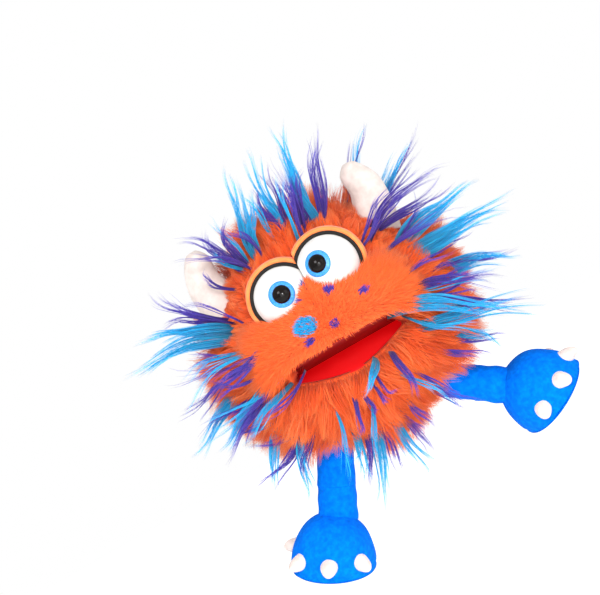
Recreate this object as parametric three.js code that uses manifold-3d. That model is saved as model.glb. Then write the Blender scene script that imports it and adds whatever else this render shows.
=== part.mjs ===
// A furry monster hand puppet with a moving mouth, in millimetres, +Z up.
// It faces -Y, and the puppet's own left side is +X.
// Shapes are worked out round the centre of the fur ball, and the whole puppet is then
// moved so that the origin is the middle of the hand opening in its back.

import * as THREE from 'three';
import { mergeVertices } from 'three/addons/utils/BufferGeometryUtils.js';
import Module from 'manifold-3d';

// ---- driving dimensions ----
const GAP = 0.3; // between pieces that touch
const BALL = [90, 80, 80]; // half-sizes of the fur ball, pile pressed flat
const FUR_THICKNESS = 12;
const CHEEK_X = 55; // plane between the middle panels and a cheek
const JAW_HINGE = { y: 15, z: -25 }; // crease of the mouth, along X
const PALATE_ANGLE = 8.5; // palate above the horizontal, degrees
const MOUTH_FLOOR_ANGLE = -11;
const JAW_END_ANGLE = -50; // lower end of the chin's fur
const BELLY_ANGLE = -66; // where the belly's fur starts, clear of the open jaw

const MUZZLE = { centre: [0, -55, -9], radii: [56, 34, 34], thickness: 8, rearY: -28 };
const MOUTH_HALF_WIDTH = 46;
const LINING_THICKNESS = 1.2;
const BOARD_THICKNESS = 2;
const BOARD_HALF_WIDTH = 44;
const BOARD_INSET = 14; // of the board's front behind the lining's
const PALATE_REACH = 91; // from the crease to the front of the palate
const FLOOR_REACH = 74;
const POCKET_WALL = 1.5;
const FINGER_POCKET = { halfWidth: 34, halfHeight: 11, corner: 8, from: 5, to: 60 };
const THUMB_POCKET = { halfWidth: 15, halfHeight: 12, corner: 8, from: 9, to: 45 };

const SLEEVE = { halfWidth: 50, halfHeight: 33, wall: 1.5, frontY: 30, rearY: 76, z: -25 };
const HEM = { overhang: 2.5, frontY: 76.3, rearY: 81 };

const EYE_Y = -60;
const LID_THICKNESS = 3;
const LID_FRONT = 8; // edge of the lid in front of the eye's centre
const LID_REAR = 11;
const PIPING_RADIUS = 1.4;
const IRIS_RADIUS = 10;
const PUPIL_RADIUS = 7;
const PUPIL_HEIGHT = 5;
const WASHER_RADIUS = 6;
const EYES = [
  { side: 'right', sign: -1, z: 35.5, radius: 25, yaw: 0, pitch: 7 },
  { side: 'left', sign: 1, z: 39, radius: 25.5, yaw: -14, pitch: 14 },
];
const EYE_X = 20;

// Centres and half-widths of the right horn, from root to tip, as [x, z, half-width].
const HORN = [[-66, 40, 17], [-71, 60, 16.5], [-73, 76, 14], [-69, 92, 10.5], [-66, 100, 6]];
const HORN_FLATTENING = 0.85;

const HIP = { x: 45, y: 4, z: -80 };
const HIP_BALL_RADIUS = 9.5;
const SOCKET_RADIUS = 16;
const SPLAY_DROP = 16; // from the swing axis down the leg to the splay axis
const LEG_TOP_RADIUS = 12;
const ANKLE_RADIUS = 13;
const SKIN_THICKNESS = 2.2;
const LEGS = [
  { side: 'right', sign: -1, splay: 27, length: 60, footSplay: 27, footYaw: 0, footOut: 5 },
  { side: 'left', sign: 1, splay: 55, length: 50, footSplay: 28, footYaw: 20, footOut: 12 },
];
const FOOT = { halfWidth: 33.5, halfLength: 35, height: 42, drop: 40, forward: 11, pitch: 12 };
const SOLE_THICKNESS = 2.5;
const CLAW = { length: 11, radius: 6.5, height: 12 };
// Where the claws stand round the foot, in degrees from the toes towards the outside.
const CLAWS = { inner: -40, middle: 6, outer: 52, rear: 125 };

// Long locks, as [angle round the ball, length, lean along the arc, forward lean] in degrees and mm.
// The angle is counted from +X towards +Z in the plane of the band that the roots stand on.
const LOCK_BANDS = [
  {
    name: 'crown_locks', y: -15, from: 56, to: 124, locks: [
      [122, 45, -2, 10], [113, 58, 4, 25], [104, 62, -8, -5], [95, 58, 10, 20], [87, 66, 0, -10],
      [79, 68, -6, 15], [71, 76, -4, 5], [64, 80, -6, -15], [58, 60, 0, 25],
    ],
  },
  {
    name: 'left_side_locks', y: -8, from: -15, to: 24, locks: [
      [23, 60, 2, 10], [18, 80, 0, 30], [12, 92, 0, 0], [5, 80, -4, 20], [-4, 62, -2, -10],
      [-9, 66, -2, 12], [-14, 62, 10, 0],
    ],
  },
  {
    name: 'right_side_locks', y: -8, from: 156, to: 198, locks: [
      [157, 62, -2, 10], [163, 78, 4, 28], [170, 66, 4, 0], [178, 58, -2, 22], [187, 62, 2, -8],
      [192, 58, 2, 12], [197, 46, -10, 0],
    ],
  },
  {
    name: 'belly_locks', y: 24, from: -104, to: -76, locks: [
      [-103, 48, -6, 0], [-95, 66, -4, 8], [-86, 60, 2, 8], [-77, 48, 6, 0],
    ],
  },
  {
    name: 'chin_locks', y: -45, from: -106, to: -74, locks: [
      [-104, 26, 8, 44], [-97, 30, 4, 50], [-90, 28, 0, 56], [-83, 30, -4, 50], [-76, 26, -8, 44],
    ],
  },
  {
    name: 'back_locks', y: 54, from: 20, to: 160, locks: [
      [158, 58, 0, -36], [138, 60, 6, -44], [118, 62, -4, -36], [98, 64, 4, -50],
      [78, 64, -4, -40], [58, 62, 4, -48], [38, 60, -4, -38], [22, 58, 0, -44],
    ],
  },
];
const LOCK_ROOT_RADIUS = 4.5;
const BAND_RADIUS = 2;
const BAND_LIFT = 3; // of the band's centre above the fur ball

const COLOURS = {
  fur: 0xf56a2c,
  cyan: 0x18a8de,
  stuffing: 0xf2efe8,
  lining: 0x20242c,
  mouth: 0xe00a12,
  board: 0x6a6a66,
  horn: 0xd9cdc6,
  white: 0xf4f0ec,
  iris: 0x2a82cc,
  black: 0x0a0a0c,
  lid: 0xff8c40,
  leg: 0x0a86f5,
};

// ---- solids ----
const wasm = await Module();
wasm.setup();

function solid(geometry, matrix) {
  const plain = geometry.clone();
  plain.deleteAttribute('normal');
  plain.deleteAttribute('uv');
  if (matrix) {
    plain.applyMatrix4(matrix);
  }
  const merged = mergeVertices(plain, 1e-4);
  return new wasm.Manifold(new wasm.Mesh({
    numProp: 3,
    vertProperties: new Float32Array(merged.attributes.position.array),
    triVerts: new Uint32Array(merged.index.array),
  }));
}

function geometryOf(shape) {
  const mesh = shape.getMesh();
  const geometry = new THREE.BufferGeometry();
  geometry.setAttribute('position', new THREE.BufferAttribute(mesh.vertProperties, 3));
  geometry.setIndex(new THREE.BufferAttribute(mesh.triVerts, 1));
  const flat = geometry.toNonIndexed();
  flat.computeVertexNormals();
  return flat;
}

function ellipsoid([x, y, z], [rx, ry, rz], around = 20, rings = 12, matrix = new THREE.Matrix4()) {
  const place = new THREE.Matrix4().makeTranslation(x, y, z).scale(new THREE.Vector3(rx, ry, rz));
  return solid(new THREE.SphereGeometry(1, around, rings), place.premultiply(matrix));
}

function ball(centre, radius, around = 16, rings = 10, matrix) {
  return ellipsoid(centre, [radius, radius, radius], around, rings, matrix);
}

function box([x0, y0, z0], [x1, y1, z1], matrix = new THREE.Matrix4()) {
  const place = new THREE.Matrix4().makeTranslation((x0 + x1) / 2, (y0 + y1) / 2, (z0 + z1) / 2);
  return solid(new THREE.BoxGeometry(x1 - x0, y1 - y0, z1 - z0), place.premultiply(matrix));
}

// An outline in the YZ plane, drawn out along X.
function sidePrism(outline, x0, x1) {
  const shape = new THREE.Shape(outline.map(([y, z]) => new THREE.Vector2(y, z)));
  const geometry = new THREE.ExtrudeGeometry(shape, { depth: x1 - x0, bevelEnabled: false });
  const axes = new THREE.Matrix4().makeBasis(
    new THREE.Vector3(0, 1, 0), new THREE.Vector3(0, 0, 1), new THREE.Vector3(1, 0, 0),
  );
  return solid(geometry, axes.premultiply(new THREE.Matrix4().makeTranslation(x0, 0, 0)));
}

// A wedge of space in front of the mouth's crease, between two angles above the horizontal.
function wedge(low, high, halfWidth, offset = 0) {
  const far = 260;
  const direction = (degrees) => {
    const turn = THREE.MathUtils.degToRad(degrees);
    return [-Math.cos(turn), Math.sin(turn)];
  };
  const middle = direction((low + high) / 2);
  const apex = [JAW_HINGE.y + middle[0] * offset, JAW_HINGE.z + middle[1] * offset];
  const corner = ([y, z]) => [apex[0] + y * far, apex[1] + z * far];
  const outline = [apex, corner(direction(high)), corner(middle), corner(direction(low))];
  return sidePrism(outline, -halfWidth, halfWidth);
}

// A round body along a smooth spine, closed at both ends by a point on the spine.
function taper(points, radii, sides, steps, matrix, flattening = 1) {
  const curve = new THREE.CatmullRomCurve3(points);
  const frames = curve.computeFrenetFrames(steps, false);
  const positions = [];
  const indices = [];
  for (let i = 0; i <= steps; i++) {
    const centre = curve.getPoint(i / steps);
    const along = (i / steps) * (radii.length - 1);
    const before = Math.min(Math.floor(along), radii.length - 2);
    const radius = THREE.MathUtils.lerp(radii[before], radii[before + 1], along - before);
    for (let j = 0; j < sides; j++) {
      const turn = (2 * Math.PI * j) / sides;
      const point = centre.clone()
        .addScaledVector(frames.normals[i], radius * Math.cos(turn))
        .addScaledVector(frames.binormals[i], radius * Math.sin(turn));
      positions.push(point.x, point.y * flattening, point.z);
    }
  }
  for (let i = 0; i < steps; i++) {
    for (let j = 0; j < sides; j++) {
      const a = i * sides + j;
      const b = i * sides + ((j + 1) % sides);
      indices.push(a, b, b + sides, a, b + sides, a + sides);
    }
  }
  const ends = [curve.getPoint(0), curve.getPoint(1)];
  for (const [end, ring] of [[0, 0], [1, steps * sides]]) {
    const tip = positions.length / 3;
    positions.push(ends[end].x, ends[end].y * flattening, ends[end].z);
    for (let j = 0; j < sides; j++) {
      const a = ring + j;
      const b = ring + ((j + 1) % sides);
      indices.push(tip, ...(end === 0 ? [b, a] : [a, b]));
    }
  }
  const geometry = new THREE.BufferGeometry();
  geometry.setAttribute('position', new THREE.Float32BufferAttribute(positions, 3));
  geometry.setIndex(indices);
  return solid(geometry, matrix);
}

function vector(x, y, z) {
  return new THREE.Vector3(x, y, z);
}

// ---- the puppet ----
const puppet = new THREE.Group();
const wholeBall = ellipsoid([0, 0, 0], BALL, 28, 16);
const insideBall = ellipsoid([0, 0, 0], BALL.map((r) => r - FUR_THICKNESS), 28, 16);
const stuffedBall = ellipsoid([0, 0, 0], BALL.map((r) => r - FUR_THICKNESS - GAP), 28, 16);
const liftedBall = ellipsoid([0, 0, 0], BALL.map((r) => r + GAP), 28, 16);

function add(name, shape, colour, roughness = 0.9) {
  const material = new THREE.MeshStandardMaterial({ color: colour, roughness, metalness: 0 });
  const mesh = new THREE.Mesh(geometryOf(shape), material);
  mesh.name = name;
  puppet.add(mesh);
}

// Planes of the mouth: a frame whose -Y runs forward along the palate or the floor.
function mouthFrame(degrees) {
  const turn = new THREE.Matrix4().makeRotationX(THREE.MathUtils.degToRad(-degrees));
  return turn.premultiply(new THREE.Matrix4().makeTranslation(0, JAW_HINGE.y, JAW_HINGE.z));
}

// A plate with straight sides and a half-elliptical front, between two heights of its frame.
function mouthPlate(reach, halfWidth, start, low, high, frame) {
  const straight = reach * 0.55;
  const shape = new THREE.Shape();
  shape.moveTo(halfWidth, -start);
  shape.lineTo(-halfWidth, -start);
  shape.lineTo(-halfWidth, -straight);
  shape.absellipse(0, -straight, halfWidth, reach - straight, Math.PI, 2 * Math.PI, false);
  const geometry = new THREE.ExtrudeGeometry(shape, {
    depth: high - low, bevelEnabled: false, curveSegments: 14,
  });
  const place = new THREE.Matrix4().makeTranslation(0, 0, low).premultiply(frame);
  return solid(geometry, place);
}

// A flat pocket with rounded corners, open at the rear and closed at the front.
function roundedBar(halfWidth, halfHeight, corner, from, to, centreZ, frame) {
  const x = halfWidth - corner;
  const z = halfHeight - corner;
  const quarter = Math.PI / 2;
  const shape = new THREE.Shape();
  shape.absarc(x, z, corner, 0, quarter, false);
  shape.absarc(-x, z, corner, quarter, 2 * quarter, false);
  shape.absarc(-x, -z, corner, 2 * quarter, 3 * quarter, false);
  shape.absarc(x, -z, corner, 3 * quarter, 4 * quarter, false);
  const geometry = new THREE.ExtrudeGeometry(shape, {
    depth: to - from, bevelEnabled: false, curveSegments: 4,
  });
  const place = new THREE.Matrix4().makeRotationX(Math.PI / 2);
  place.premultiply(new THREE.Matrix4().makeTranslation(0, -from, centreZ)).premultiply(frame);
  return solid(geometry, place);
}

function pocketSolids({ halfWidth, halfHeight, corner, from, to }, centreZ, frame) {
  const w = POCKET_WALL;
  const whole = roundedBar(halfWidth, halfHeight, corner, from, to, centreZ, frame);
  const hollow = roundedBar(
    halfWidth - w, halfHeight - w, corner - w, from - 1, to - w, centreZ, frame,
  );
  const room = roundedBar(
    halfWidth + GAP, halfHeight + GAP, corner + GAP, from - 30, to + GAP, centreZ, frame,
  );
  return { pocket: whole.subtract(hollow), room };
}

const palateFrame = mouthFrame(PALATE_ANGLE);
const floorFrame = mouthFrame(MOUTH_FLOOR_ANGLE);
const boardStart = LINING_THICKNESS + GAP;
const boardEnd = boardStart + BOARD_THICKNESS;
const pocketCentre = (pocket) => boardEnd + GAP + pocket.halfHeight;
const fingers = pocketSolids(FINGER_POCKET, pocketCentre(FINGER_POCKET), palateFrame);
const thumb = pocketSolids(THUMB_POCKET, -pocketCentre(THUMB_POCKET), floorFrame);
const aboveBoard = box([-80, -200, boardEnd + GAP], [80, 60, 200], palateFrame);
const abovePalate = box([-80, -200, boardStart], [80, 60, 200], palateFrame);
const belowBoard = box([-80, -200, -200], [80, 60, -boardEnd - GAP], floorFrame);
const belowFloor = box([-80, -200, -200], [80, 60, -boardStart], floorFrame);

function elliptical(halfWidth, halfHeight, frontY, rearY, z = SLEEVE.z) {
  const shape = new THREE.Shape().absellipse(0, 0, halfWidth, halfHeight, 0, 2 * Math.PI, false);
  const geometry = new THREE.ExtrudeGeometry(shape, {
    depth: rearY - frontY, bevelEnabled: false, curveSegments: 16,
  });
  const place = new THREE.Matrix4().makeRotationX(Math.PI / 2);
  return solid(geometry, place.premultiply(new THREE.Matrix4().makeTranslation(0, rearY, z)));
}

const hemHalf = [SLEEVE.halfWidth + HEM.overhang, SLEEVE.halfHeight + HEM.overhang];
const sleeveRoom = elliptical(SLEEVE.halfWidth + GAP, SLEEVE.halfHeight + GAP, 0, 120)
  .add(elliptical(hemHalf[0] + GAP, hemHalf[1] + GAP, HEM.frontY - GAP, 120));
const lidRooms = EYES.map((eye) => ball(
  [eye.sign * EYE_X, EYE_Y, eye.z], eye.radius + 5 * GAP + LID_THICKNESS, 16, 10,
)).reduce((a, b) => a.add(b));
const hipRooms = LEGS.map((leg) => ball([leg.sign * HIP.x, HIP.y, HIP.z], SOCKET_RADIUS))
  .reduce((a, b) => a.add(b));

// ---- fur panels of the head ----
const fur = wholeBall.subtract(insideBall).subtract(hipRooms).subtract(lidRooms);
const middle = fur
  .intersect(box([-CHEEK_X + GAP, -120, -120], [CHEEK_X - GAP, 120, 120]))
  .subtract(wedge(BELLY_ANGLE, PALATE_ANGLE, 80));
const CROWN_Z = 29;
const BACK_Y = 25;
const BELLY_Z = -60;
add('crown_fur', middle.intersect(box([-80, -120, CROWN_Z], [80, BACK_Y, 120])), COLOURS.fur);
add('back_fur', middle.intersect(box([-80, BACK_Y + GAP, BELLY_Z], [80, 120, 120]))
  .subtract(sleeveRoom), COLOURS.fur);
add('belly_fur', middle.intersect(box([-80, -120, -120], [80, 120, BELLY_Z - GAP])), COLOURS.fur);
for (const [side, sign] of [['right', -1], ['left', 1]]) {
  const half = sign < 0
    ? box([-120, -120, -120], [-CHEEK_X, 120, 120])
    : box([CHEEK_X, -120, -120], [120, 120, 120]);
  add(`${side}_cheek_fur`, fur.intersect(half), COLOURS.fur);
  add(`${side}_cheek_stuffing`, stuffedBall.subtract(hipRooms).subtract(sleeveRoom).intersect(half)
    .intersect(box([-120, -60, -50], [120, 60, 50])), COLOURS.stuffing);
}

// ---- muzzle and crown stuffing ----
// The muzzle's outline less a thickness, carried straight back from its widest section.
function muzzleShape(less, rearY) {
  const [halfWidth, depth, halfHeight] = MUZZLE.radii.map((r) => r - less);
  const [, y, z] = MUZZLE.centre;
  return ellipsoid(MUZZLE.centre, [halfWidth, depth, halfHeight])
    .add(elliptical(halfWidth, halfHeight, y, rearY, z));
}

const muzzleRoom = box([-CHEEK_X + GAP, -120, -60], [CHEEK_X - GAP, MUZZLE.rearY, 60]);
add('muzzle_fur', muzzleShape(0, MUZZLE.rearY)
  .subtract(muzzleShape(MUZZLE.thickness, MUZZLE.rearY + 5)).intersect(muzzleRoom)
  .intersect(abovePalate).subtract(lidRooms), COLOURS.fur);
add('muzzle_stuffing', muzzleShape(MUZZLE.thickness + GAP, MUZZLE.rearY)
  .intersect(muzzleRoom).intersect(aboveBoard).subtract(lidRooms).subtract(fingers.room),
COLOURS.stuffing);
add('crown_stuffing', stuffedBall
  .intersect(box([-CHEEK_X + GAP, MUZZLE.rearY + GAP, 18], [CHEEK_X - GAP, 50, 120]))
  .subtract(fingers.room).subtract(lidRooms).subtract(sleeveRoom), COLOURS.stuffing);

// ---- sleeve for the hand ----
const sleeveInside = elliptical(
  SLEEVE.halfWidth - SLEEVE.wall, SLEEVE.halfHeight - SLEEVE.wall, 0, 120,
);
add('hand_sleeve', elliptical(SLEEVE.halfWidth, SLEEVE.halfHeight, SLEEVE.frontY, SLEEVE.rearY)
  .subtract(sleeveInside), COLOURS.lining);
add('sleeve_hem', elliptical(hemHalf[0], hemHalf[1], HEM.frontY, HEM.rearY)
  .subtract(sleeveInside), COLOURS.lining);

// ---- mouth ----
add('palate_cloth', mouthPlate(
  PALATE_REACH, MOUTH_HALF_WIDTH, 5, 0, LINING_THICKNESS, palateFrame,
), COLOURS.mouth);
add('upper_mouth_board', mouthPlate(
  PALATE_REACH - BOARD_INSET, BOARD_HALF_WIDTH, 7, boardStart, boardEnd, palateFrame,
), COLOURS.board, 0.7);
add('finger_pocket', fingers.pocket, COLOURS.lining);

// ---- lower jaw ----
const jawWidth = CHEEK_X - 1;
const jawWedge = wedge(JAW_END_ANGLE, 0, jawWidth).intersect(belowFloor);
add('jaw_fur', wholeBall.subtract(insideBall).intersect(jawWedge), COLOURS.fur);
add('jaw_stuffing', stuffedBall.intersect(wedge(JAW_END_ANGLE + 2, 0, jawWidth - 1, 6))
  .intersect(belowBoard).subtract(thumb.room), COLOURS.stuffing);
add('mouth_floor_cloth', mouthPlate(
  FLOOR_REACH, MOUTH_HALF_WIDTH, 5, -LINING_THICKNESS, 0, floorFrame,
), COLOURS.mouth);
add('lower_mouth_board', mouthPlate(
  FLOOR_REACH - BOARD_INSET, BOARD_HALF_WIDTH, 7, -boardEnd, -boardStart, floorFrame,
), COLOURS.board, 0.7);
add('thumb_pocket', thumb.pocket, COLOURS.lining);

// ---- eyes ----
for (const eye of EYES) {
  const centre = vector(eye.sign * EYE_X, EYE_Y, eye.z);
  const place = new THREE.Matrix4().makeTranslation(centre.x, centre.y, centre.z);
  const gaze = place.clone()
    .multiply(new THREE.Matrix4().makeRotationZ(THREE.MathUtils.degToRad(eye.yaw)))
    .multiply(new THREE.Matrix4().makeRotationX(THREE.MathUtils.degToRad(-eye.pitch)));
  const r = eye.radius;
  const ownHalf = eye.sign < 0
    ? box([-120, -120, -60], [-GAP / 2, 120, 120])
    : box([GAP / 2, -120, -60], [120, 120, 120]);

  // A turned piece round the line of sight, from its outline as [radius, y] in the gaze's frame.
  const turned = (outline, around = 16) => {
    const points = outline.map(([radius, y]) => new THREE.Vector2(radius, y));
    return solid(new THREE.LatheGeometry(points, around), gaze);
  };
  const ringAround = (inner, outer, y0, y1) => turned(
    [[inner, y0], [outer, y0], [outer, y1], [inner, y1], [inner, y0]],
  );
  const stemRadius = 1.6;
  const wall = 3.5;
  const stemHole = turned(
    [[0, -r - 5], [stemRadius + GAP, -r - 5], [stemRadius + GAP, -r + wall + 5], [0, -r + wall + 5]], 10,
  );
  add(`${eye.side}_eye_white`, ball([0, 0, 0], r, 20, 12, place)
    .subtract(ball([0, 0, 0], r - wall, 12, 8, place))
    .intersect(box([-60, -60, -60], [60, 6, 60], place))
    .intersect(ownHalf).subtract(stemHole), COLOURS.white, 0.6);
  const onEye = (radius, lift) => -Math.sqrt((r + lift) ** 2 - radius ** 2);
  const irisHole = PUPIL_RADIUS + GAP;
  add(`${eye.side}_iris`, turned([
    [irisHole, onEye(irisHole, GAP)], [irisHole, onEye(irisHole, 1 + GAP)],
    [IRIS_RADIUS, onEye(IRIS_RADIUS, 1 + GAP)], [IRIS_RADIUS, onEye(IRIS_RADIUS, GAP)],
    [irisHole, onEye(irisHole, GAP)],
  ]), COLOURS.iris, 0.5);
  const base = -r - GAP;
  const dome = [];
  for (let i = 0; i <= 5; i++) {
    const turn = (Math.PI / 2) * (1 - i / 5);
    dome.push([PUPIL_RADIUS * Math.cos(turn), base - PUPIL_HEIGHT * Math.sin(turn)]);
  }
  add(`${eye.side}_pupil`, turned(
    [...dome, [stemRadius, base], [stemRadius, -r + wall + 5], [0, -r + wall + 5]],
  ), COLOURS.black, 0.08);
  add(`${eye.side}_pupil_washer`, ringAround(
    stemRadius + GAP, WASHER_RADIUS, -r + wall + 1.5, -r + wall + 3,
  ), COLOURS.stuffing, 0.5);

  const lidInside = r + GAP;
  const lid = ball([0, 0, 0], lidInside + LID_THICKNESS, 20, 12, place)
    .subtract(ball([0, 0, 0], lidInside, 20, 12, place));
  add(`${eye.side}_eyelid`, lid
    .intersect(box([-60, -LID_FRONT, -8], [60, LID_REAR, 60], place)).intersect(ownHalf), COLOURS.lid);
  const pipingY = -LID_FRONT - PIPING_RADIUS - GAP;
  const pipingRing = Math.sqrt((r + PIPING_RADIUS + GAP) ** 2 - pipingY ** 2);
  const ring = new THREE.Matrix4().makeRotationX(Math.PI / 2)
    .premultiply(new THREE.Matrix4().makeTranslation(0, pipingY, 0)).premultiply(place);
  add(`${eye.side}_eyelid_piping`, solid(
    new THREE.TorusGeometry(pipingRing, PIPING_RADIUS, 6, 28), ring,
  ).intersect(box([-60, -60, -8], [60, 60, 60], place)).intersect(ownHalf), COLOURS.black, 0.8);
}

// ---- horns ----
for (const [side, sign] of [['right', -1], ['left', 1]]) {
  const spine = HORN.map(([x, z]) => vector(-sign * x, -3, z));
  const radii = HORN.map(([, , radius]) => radius);
  const body = taper(spine, radii, 12, 6, undefined, HORN_FLATTENING);
  const tip = HORN[HORN.length - 1];
  const cap = ellipsoid([-sign * tip[0], -3 * HORN_FLATTENING, tip[1]], [6, 5.2, 4], 12, 8);
  add(`${side}_horn`, body.add(cap).subtract(liftedBall), COLOURS.horn);
}

// ---- legs ----
for (const leg of LEGS) {
  const radians = THREE.MathUtils.degToRad;
  const hip = new THREE.Matrix4().makeTranslation(leg.sign * HIP.x, HIP.y, HIP.z)
    .multiply(new THREE.Matrix4().makeRotationY(-leg.sign * radians(leg.splay)));
  const splayCentre = [0, 0, -SPLAY_DROP];
  add(`${leg.side}_hip_gusset`, ball([0, 0, 0], HIP_BALL_RADIUS, 12, 8, hip)
    .subtract(ball(splayCentre, LEG_TOP_RADIUS + 0.6, 14, 10, hip)), COLOURS.leg);

  // A limb with round ends, from the splay axis down to the ankle.
  const limb = (less) => {
    const outline = [];
    for (const [radius, y, start] of [
      [LEG_TOP_RADIUS - less, -SPLAY_DROP, 90], [ANKLE_RADIUS - less, -leg.length, 0],
    ]) {
      for (let i = 0; i <= 4; i++) {
        const turn = radians(start - (90 * i) / 4);
        outline.push(new THREE.Vector2(Math.abs(radius * Math.cos(turn)), y + radius * Math.sin(turn)));
      }
    }
    outline[0].x = 0;
    outline[outline.length - 1].x = 0;
    const upright = hip.clone().multiply(new THREE.Matrix4().makeRotationX(Math.PI / 2));
    return solid(new THREE.LatheGeometry(outline.reverse(), 14), upright);
  };
  const fillingHole = box([-4, -4, -SPLAY_DROP], [4, 4, 0], hip);
  add(`${leg.side}_leg_skin`, limb(0).subtract(limb(SKIN_THICKNESS)).subtract(fillingHole),
    COLOURS.leg);
  add(`${leg.side}_leg_stuffing`, limb(SKIN_THICKNESS + GAP), COLOURS.stuffing);

  // The foot's frame has its origin at the ankle, -Y towards the toes and -Z down to the sole.
  const ankle = vector(0, 0, -leg.length).applyMatrix4(hip);
  const foot = new THREE.Matrix4().makeTranslation(ankle.x, ankle.y, ankle.z)
    .multiply(new THREE.Matrix4().makeRotationY(-leg.sign * radians(leg.footSplay)))
    .multiply(new THREE.Matrix4().makeRotationX(radians(FOOT.pitch)))
    .multiply(new THREE.Matrix4().makeRotationZ(leg.sign * radians(leg.footYaw)));
  const centre = [leg.sign * leg.footOut, -FOOT.forward, -FOOT.drop];
  const mound = (less) => ellipsoid(
    centre, [FOOT.halfWidth - less, FOOT.halfLength - less, FOOT.height - less], 16, 10, foot,
  );
  const slab = (low, high) => box([-90, -90, low], [90, 90, high], foot);
  const ankleRoom = ball([0, 0, 0], ANKLE_RADIUS + 0.6, 14, 10, foot);
  const top = -8;
  add(`${leg.side}_foot_upper`, mound(0).subtract(mound(SKIN_THICKNESS))
    .intersect(slab(-FOOT.drop, top)).subtract(ankleRoom), COLOURS.leg);
  add(`${leg.side}_foot_stuffing`, mound(SKIN_THICKNESS + GAP)
    .intersect(slab(-FOOT.drop, top)).subtract(ankleRoom), COLOURS.stuffing);
  const soleTop = -FOOT.drop - GAP;
  add(`${leg.side}_foot_sole`, mound(0).intersect(slab(soleTop - SOLE_THICKNESS, soleTop)),
    COLOURS.leg);

  for (const [where, degrees] of Object.entries(CLAWS)) {
    const turn = radians(degrees);
    const out = vector(leg.sign * Math.sin(turn), -Math.cos(turn), 0);
    const edge = vector(
      centre[0] + out.x * FOOT.halfWidth * 0.94,
      centre[1] + out.y * FOOT.halfLength * 0.94,
      centre[2] + CLAW.height,
    );
    const spine = [
      edge.clone().addScaledVector(out, -3),
      edge.clone().addScaledVector(out, CLAW.length * 0.4),
      edge.clone().addScaledVector(out, CLAW.length).add(vector(0, 0, -2)),
    ];
    add(`${leg.side}_${where}_claw`, taper(
      spine, [CLAW.radius, CLAW.radius, CLAW.radius * 0.85, CLAW.radius * 0.4], 8, 3, foot,
    ).subtract(ellipsoid(
      centre, [FOOT.halfWidth + GAP, FOOT.halfLength + GAP, FOOT.height + GAP], 16, 10, foot,
    )), COLOURS.horn);
  }
}

// ---- long locks, standing on narrow bands of fur backing ----
for (const band of LOCK_BANDS) {
  const section = Math.sqrt(1 - (band.y / BALL[1]) ** 2);
  const rootAt = (degrees) => {
    const turn = THREE.MathUtils.degToRad(degrees);
    return vector(
      (BALL[0] + BAND_LIFT) * section * Math.cos(turn), band.y,
      (BALL[2] + BAND_LIFT) * section * Math.sin(turn),
    );
  };
  const bandPoints = [];
  for (let i = 0; i <= 8; i++) {
    bandPoints.push(rootAt(THREE.MathUtils.lerp(band.from, band.to, i / 8)));
  }
  let shape = taper(bandPoints, [BAND_RADIUS, BAND_RADIUS], 4, 8);
  for (const [degrees, length, lean, forward] of band.locks) {
    const root = rootAt(degrees);
    const turn = THREE.MathUtils.degToRad(degrees + lean);
    const tip = vector(Math.cos(turn), -Math.tan(THREE.MathUtils.degToRad(forward)), Math.sin(turn));
    tip.normalize().multiplyScalar(length).add(root);
    const outward = vector(Math.cos(turn), 0, Math.sin(turn));
    const bend = root.clone().lerp(tip, 0.5).addScaledVector(outward, length * 0.06);
    const lock = taper(
      [root, bend, tip], [LOCK_ROOT_RADIUS * 0.6, LOCK_ROOT_RADIUS, LOCK_ROOT_RADIUS * 0.8, 0.5], 4, 2,
    );
    shape = shape.add(lock);
  }
  add(band.name, shape.subtract(liftedBall), COLOURS.cyan);
}

// The origin is the middle of the hand opening.
puppet.position.set(0, -HEM.rearY, -SLEEVE.z);

export default puppet;
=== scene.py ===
"""Looks of a furry moving mouth hand puppet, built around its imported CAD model.

Sizes are in millimetres in the puppet's body frame: the centre of the fur ball is the origin, -Y is the
front, +X the puppet's own left and +Z up. row() turns them into the metres of the CAD frame.
"""
import math

import bmesh
import bpy
import numpy as np
from mathutils import Matrix, Vector, kdtree, noise


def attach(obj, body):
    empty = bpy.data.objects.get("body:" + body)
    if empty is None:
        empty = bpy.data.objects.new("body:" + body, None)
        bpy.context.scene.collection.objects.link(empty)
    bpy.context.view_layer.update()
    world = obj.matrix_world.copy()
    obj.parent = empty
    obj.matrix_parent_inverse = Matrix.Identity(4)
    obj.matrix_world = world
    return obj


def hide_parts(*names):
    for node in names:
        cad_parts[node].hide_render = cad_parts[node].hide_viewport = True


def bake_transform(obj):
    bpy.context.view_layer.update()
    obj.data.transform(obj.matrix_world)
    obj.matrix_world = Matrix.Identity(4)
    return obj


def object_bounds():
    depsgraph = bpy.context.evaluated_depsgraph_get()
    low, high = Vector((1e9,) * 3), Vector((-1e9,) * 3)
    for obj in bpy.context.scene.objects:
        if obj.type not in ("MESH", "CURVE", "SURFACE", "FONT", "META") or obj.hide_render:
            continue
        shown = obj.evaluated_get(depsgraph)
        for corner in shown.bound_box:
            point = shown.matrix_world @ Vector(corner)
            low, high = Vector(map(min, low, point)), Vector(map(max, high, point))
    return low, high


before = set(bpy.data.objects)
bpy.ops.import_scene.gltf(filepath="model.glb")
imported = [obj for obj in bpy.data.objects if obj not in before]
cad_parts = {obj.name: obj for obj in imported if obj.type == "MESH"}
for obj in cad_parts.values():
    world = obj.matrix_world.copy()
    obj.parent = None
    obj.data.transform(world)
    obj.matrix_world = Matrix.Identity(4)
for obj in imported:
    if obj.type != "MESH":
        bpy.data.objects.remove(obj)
CAD_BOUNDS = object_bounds()
NOISE_SEED = 7
noise.seed_set(NOISE_SEED)  # noise_vector, which ruffle() uses, otherwise differs from run to run

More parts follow.
